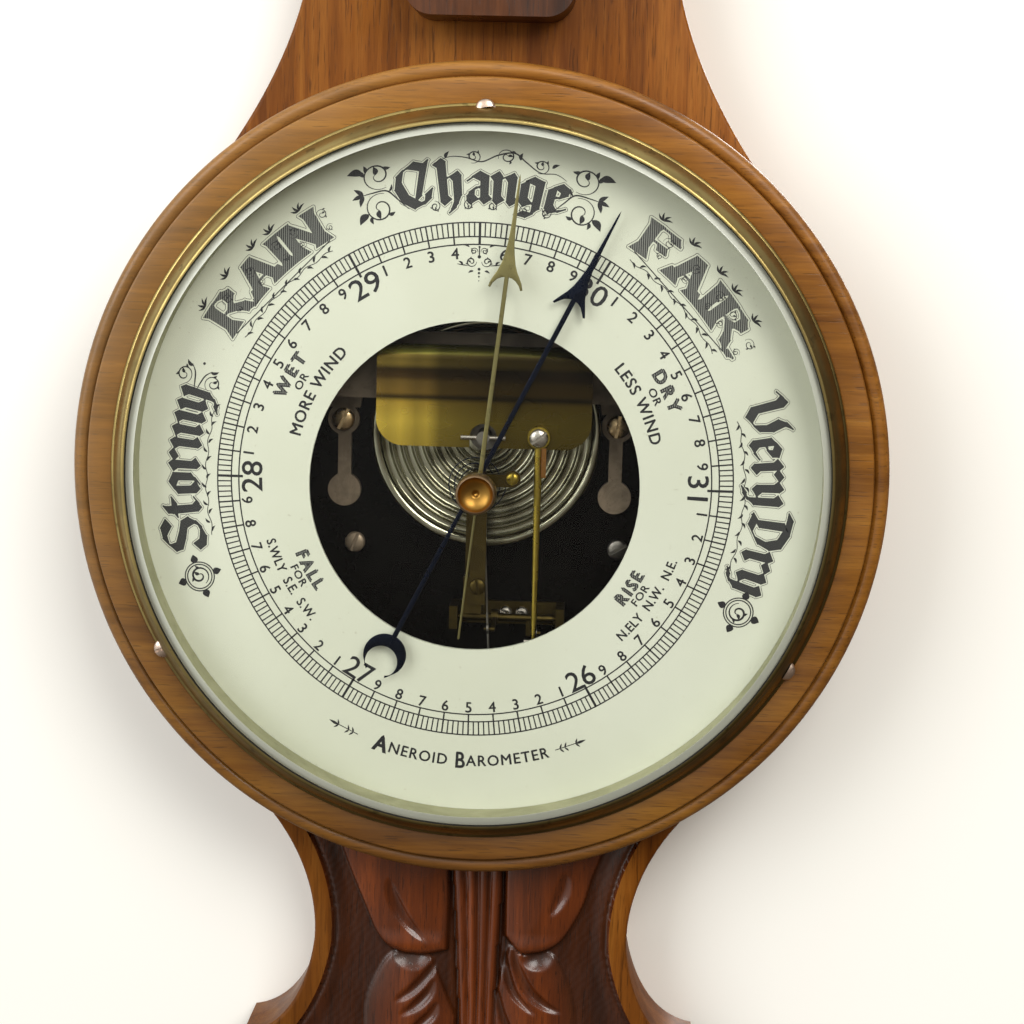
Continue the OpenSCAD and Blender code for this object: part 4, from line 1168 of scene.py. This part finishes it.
STEM = [(-0.35, 3.8), (0, 3.3), (0, 0.65), (0.4, 0.2)]
ARCH = [(0.1, 3.1), (1.3, 3.8), (1.65, 3.3), (1.65, 0.65), (2.05, 0.2)]
BOWL = [(0.6, 3.75), (0, 3.2), (0, 0.75)]
POST = [(0, 5.7), (0, 0.3)]
TEXT_LETTERS = {  # width and pen strokes
    "n": (1.65, [STEM, ARCH]),
    "a": (1.65, [
        [(0.1, 3.2), (0.7, 3.75), (1.65, 3.2), (1.65, 0.65), (2.05, 0.2)],
        [(1.5, 2.3), (0.3, 1.7), (0, 1.2), (0, 0.6), (0.4, 0.15), (1.5, 0.8)],
    ]),
    "g": (1.65, [
        [(0.5, 3.75), (0, 3.2), (0, 0.9), (0.5, 0.4), (1.55, 0.9)],
        [(0.5, 3.75), (1.65, 3.4), (1.65, -0.2), (1, -1.0), (-0.2, -0.9)],
    ]),
    "e": (1.5, [[*BOWL, (0.5, 0.2), (1.6, 0.7)], [(0.6, 3.75), (1.5, 3.3), (1.4, 2.5), (0.2, 1.9)]]),
    "h": (1.65, [
        [(-0.4, 5.6), (0, 5.2), (0, 0.65), (0.4, 0.2)],
        [(0.1, 3.1), (1.3, 3.8), (1.65, 3.3), (1.65, 0.7), (1.2, -0.4), (0.9, -0.9)],
    ]),
    "o": (1.65, [[*BOWL, (0.5, 0.2), (1.4, 0.6)], [(0.6, 3.75), (1.65, 3.2), (1.65, 0.8), (1.1, 0.2)]]),
    "r": (1.2, [STEM, [(0.1, 3.1), (0.9, 3.8), (1.4, 3.3)]]),
    "t": (0.9, [[(0.1, 4.8), (0, 4.2), (0, 0.7), (0.45, 0.2), (1.0, 0.5)], [(-0.5, 3.6), (1.1, 3.6)]]),
    "m": (3.3, [STEM, ARCH, [(1.75, 3.1), (2.95, 3.8), (3.3, 3.3), (3.3, 0.65), (3.7, 0.2)]]),
    "y": (1.65, [
        [(-0.35, 3.8), (0, 3.3), (0, 0.9), (0.5, 0.3), (1.5, 0.9)],
        [(1.3, 3.8), (1.65, 3.3), (1.65, -0.1), (1, -1.0), (0.1, -1.2)],
    ]),
    "S": (3.3, [[
        (3.3, 4.8), (2.4, 5.6), (1.2, 5.5), (0.3, 4.7), (0.4, 3.8), (1.6, 3.1), (2.9, 2.6), (3.3, 1.6), (2.7, 0.6),
        (1.4, 0.15), (0.3, 0.5), (-0.1, 1.4),
    ]]),
    "C": (3.6, [
        [(3.0, 5.2), (1.8, 5.7), (0.5, 4.9), (0, 3.3), (0.5, 1.5), (1.8, 0.3), (3.1, 0.7), (3.4, 1.9)],
        [(3.3, 5.7), (2.0, 1.2)],
    ]),
    "D": (3.5, [
        [(-0.3, 5.5), (1.4, 5.3), (3.0, 4.5), (3.5, 3.0), (3.0, 1.3), (1.5, 0.2), (0, 0.7)],
        [(0.9, 5.0), (0.9, 1.1), (0.2, 0.5)],
    ]),
    "V": (3.3, [[
        (-0.4, 5.2), (0.2, 5.6), (0.6, 4.9), (0.6, 1.4), (1.6, 0.4), (2.9, 1.2), (3.2, 3.0), (2.8, 4.6), (3.3, 5.6),
    ]]),
}
FAT_LETTERS = {
    "R": (3.6, [
        POST,
        [(0, 5.75), (1.9, 5.75), (2.7, 5.1), (2.7, 4.0), (1.8, 3.2), (0.3, 3.1)],
        [(1.6, 3.1), (2.9, 1.7), (3.4, 0.5), (4.4, 0.15), (4.9, 0.8)],
    ]),
    "A": (3.6, [[(1.5, 5.8), (0.1, 0.3)], [(1.7, 5.8), (3.6, 0.3)], [(0.6, 2.2), (2.8, 2.2)]]),
    "I": (0.1, [[(0, 5.7), (0.1, 0.3)]]),
    "N": (3.4, [POST, [(0.2, 5.7), (3.2, 0.4)], [(3.4, 5.7), (3.4, 0.3)]]),
    "F": (2.9, [POST, [(0, 5.75), (2.4, 5.75), (2.9, 4.9)], [(0, 3.2), (1.9, 3.2), (2.2, 2.4)]]),
}
FLARES = {"R": [0], "A": [0.1, 3.6], "I": [0.1], "N": [0, 3.4], "F": [0]}  # where a fat letter's stems stand


def quad_distance(p, quad):
    """Signed distance from points to a convex anticlockwise quad."""
    e = np.roll(quad, -1, 0) - quad
    length = np.hypot(*e.T)
    ok = length > 1e-6
    n = np.c_[e[ok][:, 1], -e[ok][:, 0]] / length[ok][:, None]
    plane = np.max([(p - q) @ k for q, k in zip(quad[ok], n)], axis=0)
    edge = np.min([nearest(p, np.array([a, b]))[0] for a, b in zip(quad, np.roll(quad, -1, 0))], axis=0)
    return np.where(plane > 0, edge, plane)


def contour(f, u, v):
    """Short segments where a grid of values crosses zero."""
    out = []
    sign = np.sign(f)
    same = np.abs(sign[:-1, :-1] + sign[:-1, 1:] + sign[1:, :-1] + sign[1:, 1:]) < 4
    for i, j in zip(*np.nonzero(same)):
        c = [(u[x], v[y], f[y][x]) for x, y in ((j, i), (j + 1, i), (j + 1, i + 1), (j, i + 1))]
        hit = []
        for a, b in zip(c, c[1:] + c[:1]):
            if (a[2] > 0) != (b[2] > 0):
                t = a[2] / (a[2] - b[2])
                hit.append((a[0] + t * (b[0] - a[0]), a[1] + t * (b[1] - a[1])))
        out += list(zip(hit[::2], hit[1::2]))
    return out


def lettering(word, letters, place, unit, width, angle, span, body, fine, gap, ring=0.38, thin=0.22):
    """A word in broad-pen letters with a fine line drawn round them, fitted to a span."""
    x, quads = 0.0, []
    for ch in word:
        adv, paths = letters[ch]
        for path in paths:
            quads += [q + (x, 0) for q in nib(path, width, angle, thin)]
        for f in FLARES[ch] if letters is FAT_LETTERS else ():
            f += x
            quads.append(np.array([(f - 1.35, 0.0), (f + 1.35, 0.0), (f + 0.6, 2.0), (f - 0.6, 2.0)]))
            top = np.array([(f - 0.5, 4.4), (f + 0.5, 4.4), (f + 1.0, 6.0), (f - 1.0, 6.0)])
            quads.append(top if ch != "A" else quads[-1])
        x += adv + gap
    wide = x - gap
    quads = [(q - (wide / 2, 0)) * (span / wide, unit) for q in quads]
    for q in quads:
        body.fill(q, [(0, 1, 2, 3)], place)
    lo, hi = np.vstack(quads).min(0) - 1, np.vstack(quads).max(0) + 1
    u, v = (np.arange(a, b, 0.3) for a, b in zip(lo, hi))
    U, V = np.meshgrid(u, v)
    p = np.c_[U.ravel(), V.ravel()]
    far = 9.0
    f = np.full(len(p), far)
    for q in quads:
        near = np.abs(p - q.mean(0)).max(1) < far
        f[near] = np.minimum(f[near], quad_distance(p[near], q))
    for a, b in contour(f.reshape(U.shape) - ring, u, v):
        fine.line([a, b], 0.13, place)


def type_on(ink, text, place, height, squeeze=1.0, weight=0.0, gap=1.0, shift=(0, 0)):
    """Plain type, centred, with capitals of a height, thickened by a weight."""
    cu = bpy.data.curves.new("type", "FONT")
    cu.body, cu.size, cu.align_x, cu.resolution_u, cu.space_character = text, 1, "CENTER", 3, gap
    cu.fill_mode = "FRONT"
    ob = bpy.data.objects.new("type", cu)
    bpy.context.scene.collection.objects.link(ob)
    me = bpy.data.meshes.new_from_object(ob.evaluated_get(bpy.context.evaluated_depsgraph_get()))
    q = np.array([v.co[:2] for v in me.vertices]).reshape(-1, 2)
    k = height / 0.72
    w = weight * k
    for dx, dy in ((-w, -0.5 * w), (w, -0.5 * w), (0, w)) if w else ((0, 0),):
        at = q * (k * squeeze, k) + (shift[0] + dx, shift[1] + dy)
        ink.fill(at, [list(p.vertices) for p in me.polygons], place)
    bpy.data.objects.remove(ob)
    bpy.data.curves.remove(cu)
    bpy.data.meshes.remove(me)


RINGS = (74.8, 70.8, 68.6)  # of the scale
LEFT, RIGHT = -45.8, 46.4  # where the capital words stand, clockwise from the top
SIDE_LEFT, SIDE_RIGHT = -89, 91


def scale(ink):
    """Five inches in 300 degrees, with the gap below: fiftieths, tenths and their figures."""
    for r in RINGS:
        ink.ring(r, 0.38)
    for k in range(300):
        inch, tenth = k % 50 == 25, k % 5 == 0
        low = 67.4 if inch else RINGS[2] if tenth else RINGS[1]
        w = 0.7 if inch or k == 0 else 0.44 if tenth else 0.36
        ink.line([(0, low), (0, RINGS[0])], w, lambda q, a=k * 1.2: turned_by(q, a))
    for tenth in range(60):
        a = tenth * 6
        n = (tenth + 5) % 10
        upright = not 90 < a < 270
        if n == 0:
            inch = 29.5 + (a if a <= 180 else a - 360) / 60
            inch = round(inch if inch <= 31.01 else inch - 6)
            type_on(ink, str({25: 31}.get(inch, inch)), polar(a, 61.8 if upright else 68.2, upright), 6.2, 1.06, 0.008)
        elif a != 0:
            type_on(ink, str(n), polar(a, 64.6 if upright else 68.0, upright), 3.2, 1.0, 0.018)


def weather_words(black, grey, hatched):
    for word, mid, span in (("Change", 0.2, 44.5), ("Stormy", -89, 43.5), ("Very", 82.2, 27), ("Dry", 102.2, 20.5)):
        lettering(word, TEXT_LETTERS, polar(mid, 80.4), 2.12, 1.3, 38, span, grey, black, 1.5)
    for word, mid in (("RAIN", LEFT), ("FAIR", RIGHT)):
        lettering(word, FAT_LETTERS, polar(mid, 81.0), 1.74, 1.42, 6, 36, hatched, black, 1.7, thin=0.4, ring=0.5)
    for mid in (LEFT, RIGHT):
        p = polar(mid, 81.0)
        for k, u in enumerate((-17.2, -7.7, 2.0, 7.8, 16.7)):
            black.scroll((u + 4.5, 7.4), 1.6, 200, p, side=1 if k % 2 else -1, width=0.22)
            black.scroll((u + 4.7, 3.1), 1.1, 20, p, side=-1 if k % 2 else 1, width=0.2)
            for a in (-62, -25, 25, 62):
                black.leaf((u, 11.5), 90 + a, 2.4, 0.6, p)
            black.dot((u, 11.8), 0.34, p)
        black.line([(-19, -0.15), (19.5, -0.15)], 0.3, p)
    for mid, reach in ((LEFT, 18), (RIGHT, 18), (SIDE_LEFT, 19), (SIDE_RIGHT, 22)):
        p = polar(mid, 78.1)
        u = np.linspace(-reach, reach, 60)
        black.line(np.c_[u, 0.35 * np.sin(u * 0.9)], 0.22, p)
        for k, x in enumerate(np.arange(-reach + 1, reach, 2.6)):
            black.leaf((x, 0), 40 if k % 2 else -40, 2.0, 0.66, p, 0.3)


def mirrored(p, s):
    return lambda z: p(np.asarray(z) * (s, 1))


def top_scrolls(ink):
    """Scrolls beside, over and under the top word."""
    p = polar(0, 80.6)
    for s in (-1, 1):
        q = mirrored(p, s)
        ink.scroll((26.4, 11.4), 4.0, 250, q, side=1, width=0.42)
        ink.scroll((28.2, 2.4), 4.3, 120, q, side=-1, width=0.42)
        ink.line(curve((20.5, 0.0), (23, 3.6), (25.2, 6.6), (29, 7.2), (32, 7.4)), 0.42, q, taper=True)
        for root, a, length, w in (
            ((29.6, 13.2), 15, 4.0, 2.0), ((29.6, 12.2), 50, 2.6, 1.2), ((31.8, 2.0), -30, 4.0, 2.0),
        ):
            ink.leaf(root, a, length, w, q)
        for a in (-55, 0, 55):
            ink.leaf((31.4, 7.3), a, 3.2, 1.2, q, 0.1)
        ink.leaf((24.6, 6.2), 120, 2.2, 0.7, q)
    for u, v, size, a, s in (
        (-2, 12.6, 1.9, 250, 1), (6.2, 13.0, 2.2, 200, -1), (15.0, 11.8, 2.1, 250, 1), (-13, -0.6, 1.5, 90, -1),
        (-3.4, -0.9, 1.5, 60, 1), (3.4, -1.0, 1.5, 120, -1), (12.5, -1.2, 1.4, 60, 1), (19, -0.6, 1.5, 60, -1),
    ):
        ink.scroll((u, v), size, a, p, side=s, width=0.34)
    stalk = curve((-12, 11.4), (-8, 12.8), (-4, 12.4), (0, 11.2), (4, 13.2), (8, 14.2), (11, 12.2), (15, 10.0),
                  (19, 10.6), (22, 9.6))
    ink.line(stalk, 0.4, p, taper=True)
    for u, a in ((-9, 60), (9.6, 80), (17.6, 40)):
        ink.leaf((u, 13.0 - abs(u) * 0.06), a, 2.2, 0.9, p)


def side_ornaments(ink):
    """Roundels at the lower ends of the side words and a pair of scrolls over the left one."""
    for mid in (-110.6, 114.4):
        p = polar(mid, 85.4)
        for r in (4.3, 3.6):
            ink.line(arc((0, 0), r, 0, 360, 30), 0.34, p)
        ink.scroll((0.2, 0), 2.9, 200, p, side=1, width=0.6)
        for a in (0, 90, 180, 270):
            ink.leaf((4.1 * math.cos(math.radians(a)), 4.1 * math.sin(math.radians(a))), a, 2.6, 2.2, p, 0)
    p = polar(SIDE_LEFT, 81.0)
    for side, up in ((1, 0), (-1, 8.4)):
        q = lambda z, side=side, up=up: p(np.asarray(z) * (1, side) + (0, up))
        ink.scroll((25.6, 8.6), 2.5, 200, q, side=1, width=0.36)
        ink.line(curve((22.6, 4.6), (24.6, 5.0), (27.2, 5.8), (29.0, 7.4)), 0.4, q, taper=True)
        ink.leaf((28.4, 7.0), 60, 2.4, 0.9, q)
    ink.dot((30.2, 4.2), 0.4, p)


def under_scale(ink):
    """The little ornament under the top of the scale."""
    p = polar(0, 62.5)
    for s in (-1, 1):
        q = mirrored(p, s)
        ink.scroll((2.2, 1.2), 1.5, 180, q, side=1, width=0.36)
        ink.scroll((1.4, 4.2), 1.0, 200, q, side=-1, width=0.3)
        ink.line(curve((3.2, 0.2), (4.6, 0.4), (6.2, 0.8)), 0.3, q, taper=True)
        for root, a, length, w in (
            ((4.6, 0.5), 40, 1.6, 0.6), ((2.6, 5.4), 20, 1.6, 0.5), ((1.6, -1.4), -20, 1.7, 0.6),
        ):
            ink.leaf(root, a, length, w, q)
    for v, r in ((5.4, 0.3), (2.6, 0.5), (-0.9, 0.42), (-2.0, 0.36), (-3.0, 0.28), (-4.2, 0.18)):
        ink.dot((0, v), r, p)
    ink.line([(0, 5.6), (0, 2.6)], 0.3, p)


def title(ink):
    p = polar(183.2, 84.2, False)
    for word, height, squeeze, weight, gap, shift in (
        ("NEROID", 3.3, 0.98, 0.018, 1.14, (-10.4, 0)), ("A", 5.0, 0.9, 0.035, 1.0, (-22.0, -0.7)),
        ("B", 5.0, 0.8, 0.02, 1.0, (2.4, -0.7)), ("AROMETER", 3.3, 0.98, 0.018, 1.14, (16.8, 0)),
    ):
        type_on(ink, word, p, height, squeeze, weight, gap, shift)
    for s, u in ((-1, -29.5), (1, 31.5)):
        ink.line([(u, 1.6), (u + s * 9, 1.6)], 0.24, p)
        for x in (1.5, 3.0, 6.5):
            for side in (1, -1):
                ink.leaf((u + s * x, 1.6), side * (90 - s * 35), 1.7, 0.5, p, 0)
        ink.leaf((u + s * 6.6, 1.6), 90 - s * 90, 3.2, 0.8, p, 0)


WIND_RULES = (  # angle, whether it reads from the middle, base of each line, its words, and their shape
    (-61, True, (60.1, 56.8, 52.2), ("WET", "OR", "MORE WIND"), (1.0, 1.45), (3.4, 0.96, 1.12)),
    (62.5, True, (60.1, 56.8, 52.2), ("DRY", "OR", "LESS WIND"), (1.0, 1.45), (3.4, 0.96, 1.12)),
    (-119.5, False, (56.3, 59.4, 63.2), ("FALL", "FOR", "S.WLY  S.E.  S.W."), (0.95, 1.3), (2.8, 0.92, 1.05)),
    (122.5, False, (56.3, 59.4, 63.2), ("RISE", "FOR", "N.ELY  N.W.  N.E."), (0.95, 1.3), (2.8, 0.92, 1.05)),
)


def dial_print():
    black, grey, hatched, inner = Ink(), Ink(), Ink(), Ink()
    scale(black)
    weather_words(black, grey, hatched)
    top_scrolls(black)
    side_ornaments(black)
    under_scale(black)
    title(black)
    for mid, out, bases, (head, link, rule), (squeeze, gap), (height, narrow, spread) in WIND_RULES:
        first, second, third = (polar(mid, base, out) for base in bases)
        type_on(black, head, first, 3.7, squeeze, 0.06, gap)
        type_on(inner, head, first, 3.7, squeeze, gap=gap)
        type_on(black, link, second, 2.3, 1.1, 0.022, 1.1)
        type_on(black, rule, third, height, narrow, 0.022, spread)
    black.show("dial_print", M["ink"])
    grey.show("dial_letters", M["ink_grey"], 0.01)
    hatched.show("dial_capitals", M["ink_hatched"], 0.01)
    inner.show("dial_capital_cores", M["ink_hatched"], 0.08)


def thermometer_print():
    """Degrees beside the tube: Fahrenheit on the left, Celsius on the right."""
    ink = Ink()

    def height(f):
        return 176 + (f - 20) * 1.3

    def degrees(values, side, long_step, type_step, type_x, fahrenheit):
        for v in values:
            z, long = height(fahrenheit(v)), v % long_step == 0
            ink.line([(side * 4.2, z), (side * (9.0 if long else 6.8), z)], 0.4 if long else 0.28)
            if v % type_step == 0:
                type_on(ink, str(v), moved(type_x, z - 1.6), 3.2, 0.95, 0.02)

    degrees(range(20, 121, 2), -1, 10, 20, -13.4, lambda f: f)
    degrees(range(-5, 49), 1, 5, 10, 13.0, lambda c: c * 1.8 + 32)
    for x in (-4.2, 4.2):
        ink.line([(x, height(18)), (x, height(122))], 0.3)
    for x, word in ((-11, "F"), (11, "C")):
        type_on(ink, word, moved(x, 313.5), 4.4, 0.95, 0.03)
    w, low, top = 17.6, 138.0, 322.0
    for line in ([(-w, low), (w, low)], [(-w, top), (w, top)], [(-w, low), (-w, top)], [(w, low), (w, top)]):
        ink.line(line, 0.35)
    ink.show("thermometer_print", M["ink"], 0.02, CASE, "thermometer_scale")


dial_print()
thermometer_print()

# ---------------------------------------------------------------- camera, lights and wall

TILT = math.radians(1.51)  # the case leans a little on its nail, so the camera does
YAW, PITCH = math.radians(-2.61), math.radians(8.0)
CAMERA = (36.2, 69.1, 550.0)  # right of, above and in front of the scale's middle
MID = Vector((0, -0.04, SCALE[1] / 1000))
WALL_BACK, WALL_HALF = 0.0012, 3.0


def camera():
    cy, sy, cp, sp = math.cos(YAW), math.sin(YAW), math.cos(PITCH), math.sin(PITCH)
    c, s = math.cos(TILT), math.sin(TILT)
    turn = np.array([[c, -s, 0], [s, c, 0], [0, 0, 1]])
    yawed = np.array([[cy, 0, sy], [0, 1, 0], [-sy, 0, cy]])
    pitched = np.array([[1, 0, 0], [0, cp, -sp], [0, sp, cp]])
    rows = pitched @ yawed @ turn.T  # right, up and back, with x right, y up and z out of the dial
    place = turn @ np.array(CAMERA)
    cam = bpy.data.cameras.new("camera")
    cam.lens, cam.sensor_width = 67.4, 36.0
    ob = bpy.data.objects.new("camera", cam)
    m = Matrix.Identity(4)
    for col, (x, y, z) in enumerate(rows):
        m[0][col], m[1][col], m[2][col] = x, -z, y
    m[0][3] = (SCALE[0] - 0.1 + place[0]) / 1000
    m[1][3] = (-DIAL - place[2]) / 1000
    m[2][3] = (SCALE[1] + place[1]) / 1000
    ob.matrix_world = m
    bpy.context.scene.collection.objects.link(ob)
    bpy.context.scene.camera = ob


def stage_wall():
    """A pale wall. Seen from behind, it lets the back of the case show."""
    me = bpy.data.meshes.new("wall")
    w, y = WALL_HALF, WALL_BACK
    me.from_pydata([(-w, y, -w), (w, y, -w), (w, y, w), (-w, y, w)], [], [(0, 1, 2, 3)])
    ob = bpy.data.objects.new("wall", me)
    bpy.context.scene.collection.objects.link(ob)
    g = Graph("wall_paint")
    g.set(color=g.mix(g.cloud(3, 2), rgb(246, 244, 238), rgb(250, 249, 244)), rough=0.8, spec=0.2)
    path = g.node("ShaderNodeLightPath").outputs
    passing = g.math("MAXIMUM", path["Is Shadow Ray"], path["Is Glossy Ray"])
    clear = g.math("MAXIMUM", g.node("ShaderNodeNewGeometry").outputs["Backfacing"], passing)
    me.materials.append(g.surface(clear, g.bsdf.outputs[0], g.node("ShaderNodeBsdfTransparent").outputs[0]))


def area(name, at, size, power, colour):
    l = bpy.data.lights.new(name, "AREA")
    l.energy, l.color, l.size = power, colour, size
    ob = bpy.data.objects.new(name, l)
    ob.location = at
    ob.rotation_euler = (MID - Vector(at)).to_track_quat("-Z", "Y").to_euler()
    bpy.context.scene.collection.objects.link(ob)


def sky():
    """A soft light that is brightest up on the left and warm below on the right."""
    world = bpy.data.worlds.new("world")
    bpy.context.scene.world = world
    world.use_nodes = True
    tree = world.node_tree
    back = tree.nodes["Background"]
    way = tree.nodes.new("ShaderNodeTexCoord")
    dot = tree.nodes.new("ShaderNodeVectorMath")
    dot.operation = "DOT_PRODUCT"
    dot.inputs[1].default_value = (-0.62, 0.1, 0.78)
    half_up = tree.nodes.new("ShaderNodeMath")
    half_up.operation = "MULTIPLY_ADD"
    half_up.inputs[1].default_value = half_up.inputs[2].default_value = 0.5
    ramp = tree.nodes.new("ShaderNodeValToRGB")
    colours = (0.16, 0.13, 0.10, 1), (1.0, 1.0, 0.95, 1)
    for element, position, colour in zip(ramp.color_ramp.elements, (0.3, 0.66), colours):
        element.position, element.color = position, colour
    for a, b in (
        (way.outputs["Generated"], dot.inputs[0]), (dot.outputs["Value"], half_up.inputs[0]),
        (half_up.outputs[0], ramp.inputs[0]), (ramp.outputs[0], back.inputs[0]),
    ):
        tree.links.new(a, b)
    back.inputs[1].default_value = 0.85


camera()
stage_wall()
area("key", (0.42, -0.95, MID.z + 0.62), 0.6, 9.4, (1.0, 0.975, 0.93))
area("fill", (-1.2, -1.3, 0.1), 1.2, 17, (0.99, 0.99, 1.0))
area("back", (0.7, 1.5, MID.z + 0.8), 0.9, 22, (1.0, 0.98, 0.95))
sky()
bpy.context.scene.view_settings.view_transform = "Standard"
bpy.context.scene.cycles.max_bounces = 10
bpy.context.scene.cycles.transparent_max_bounces = 16
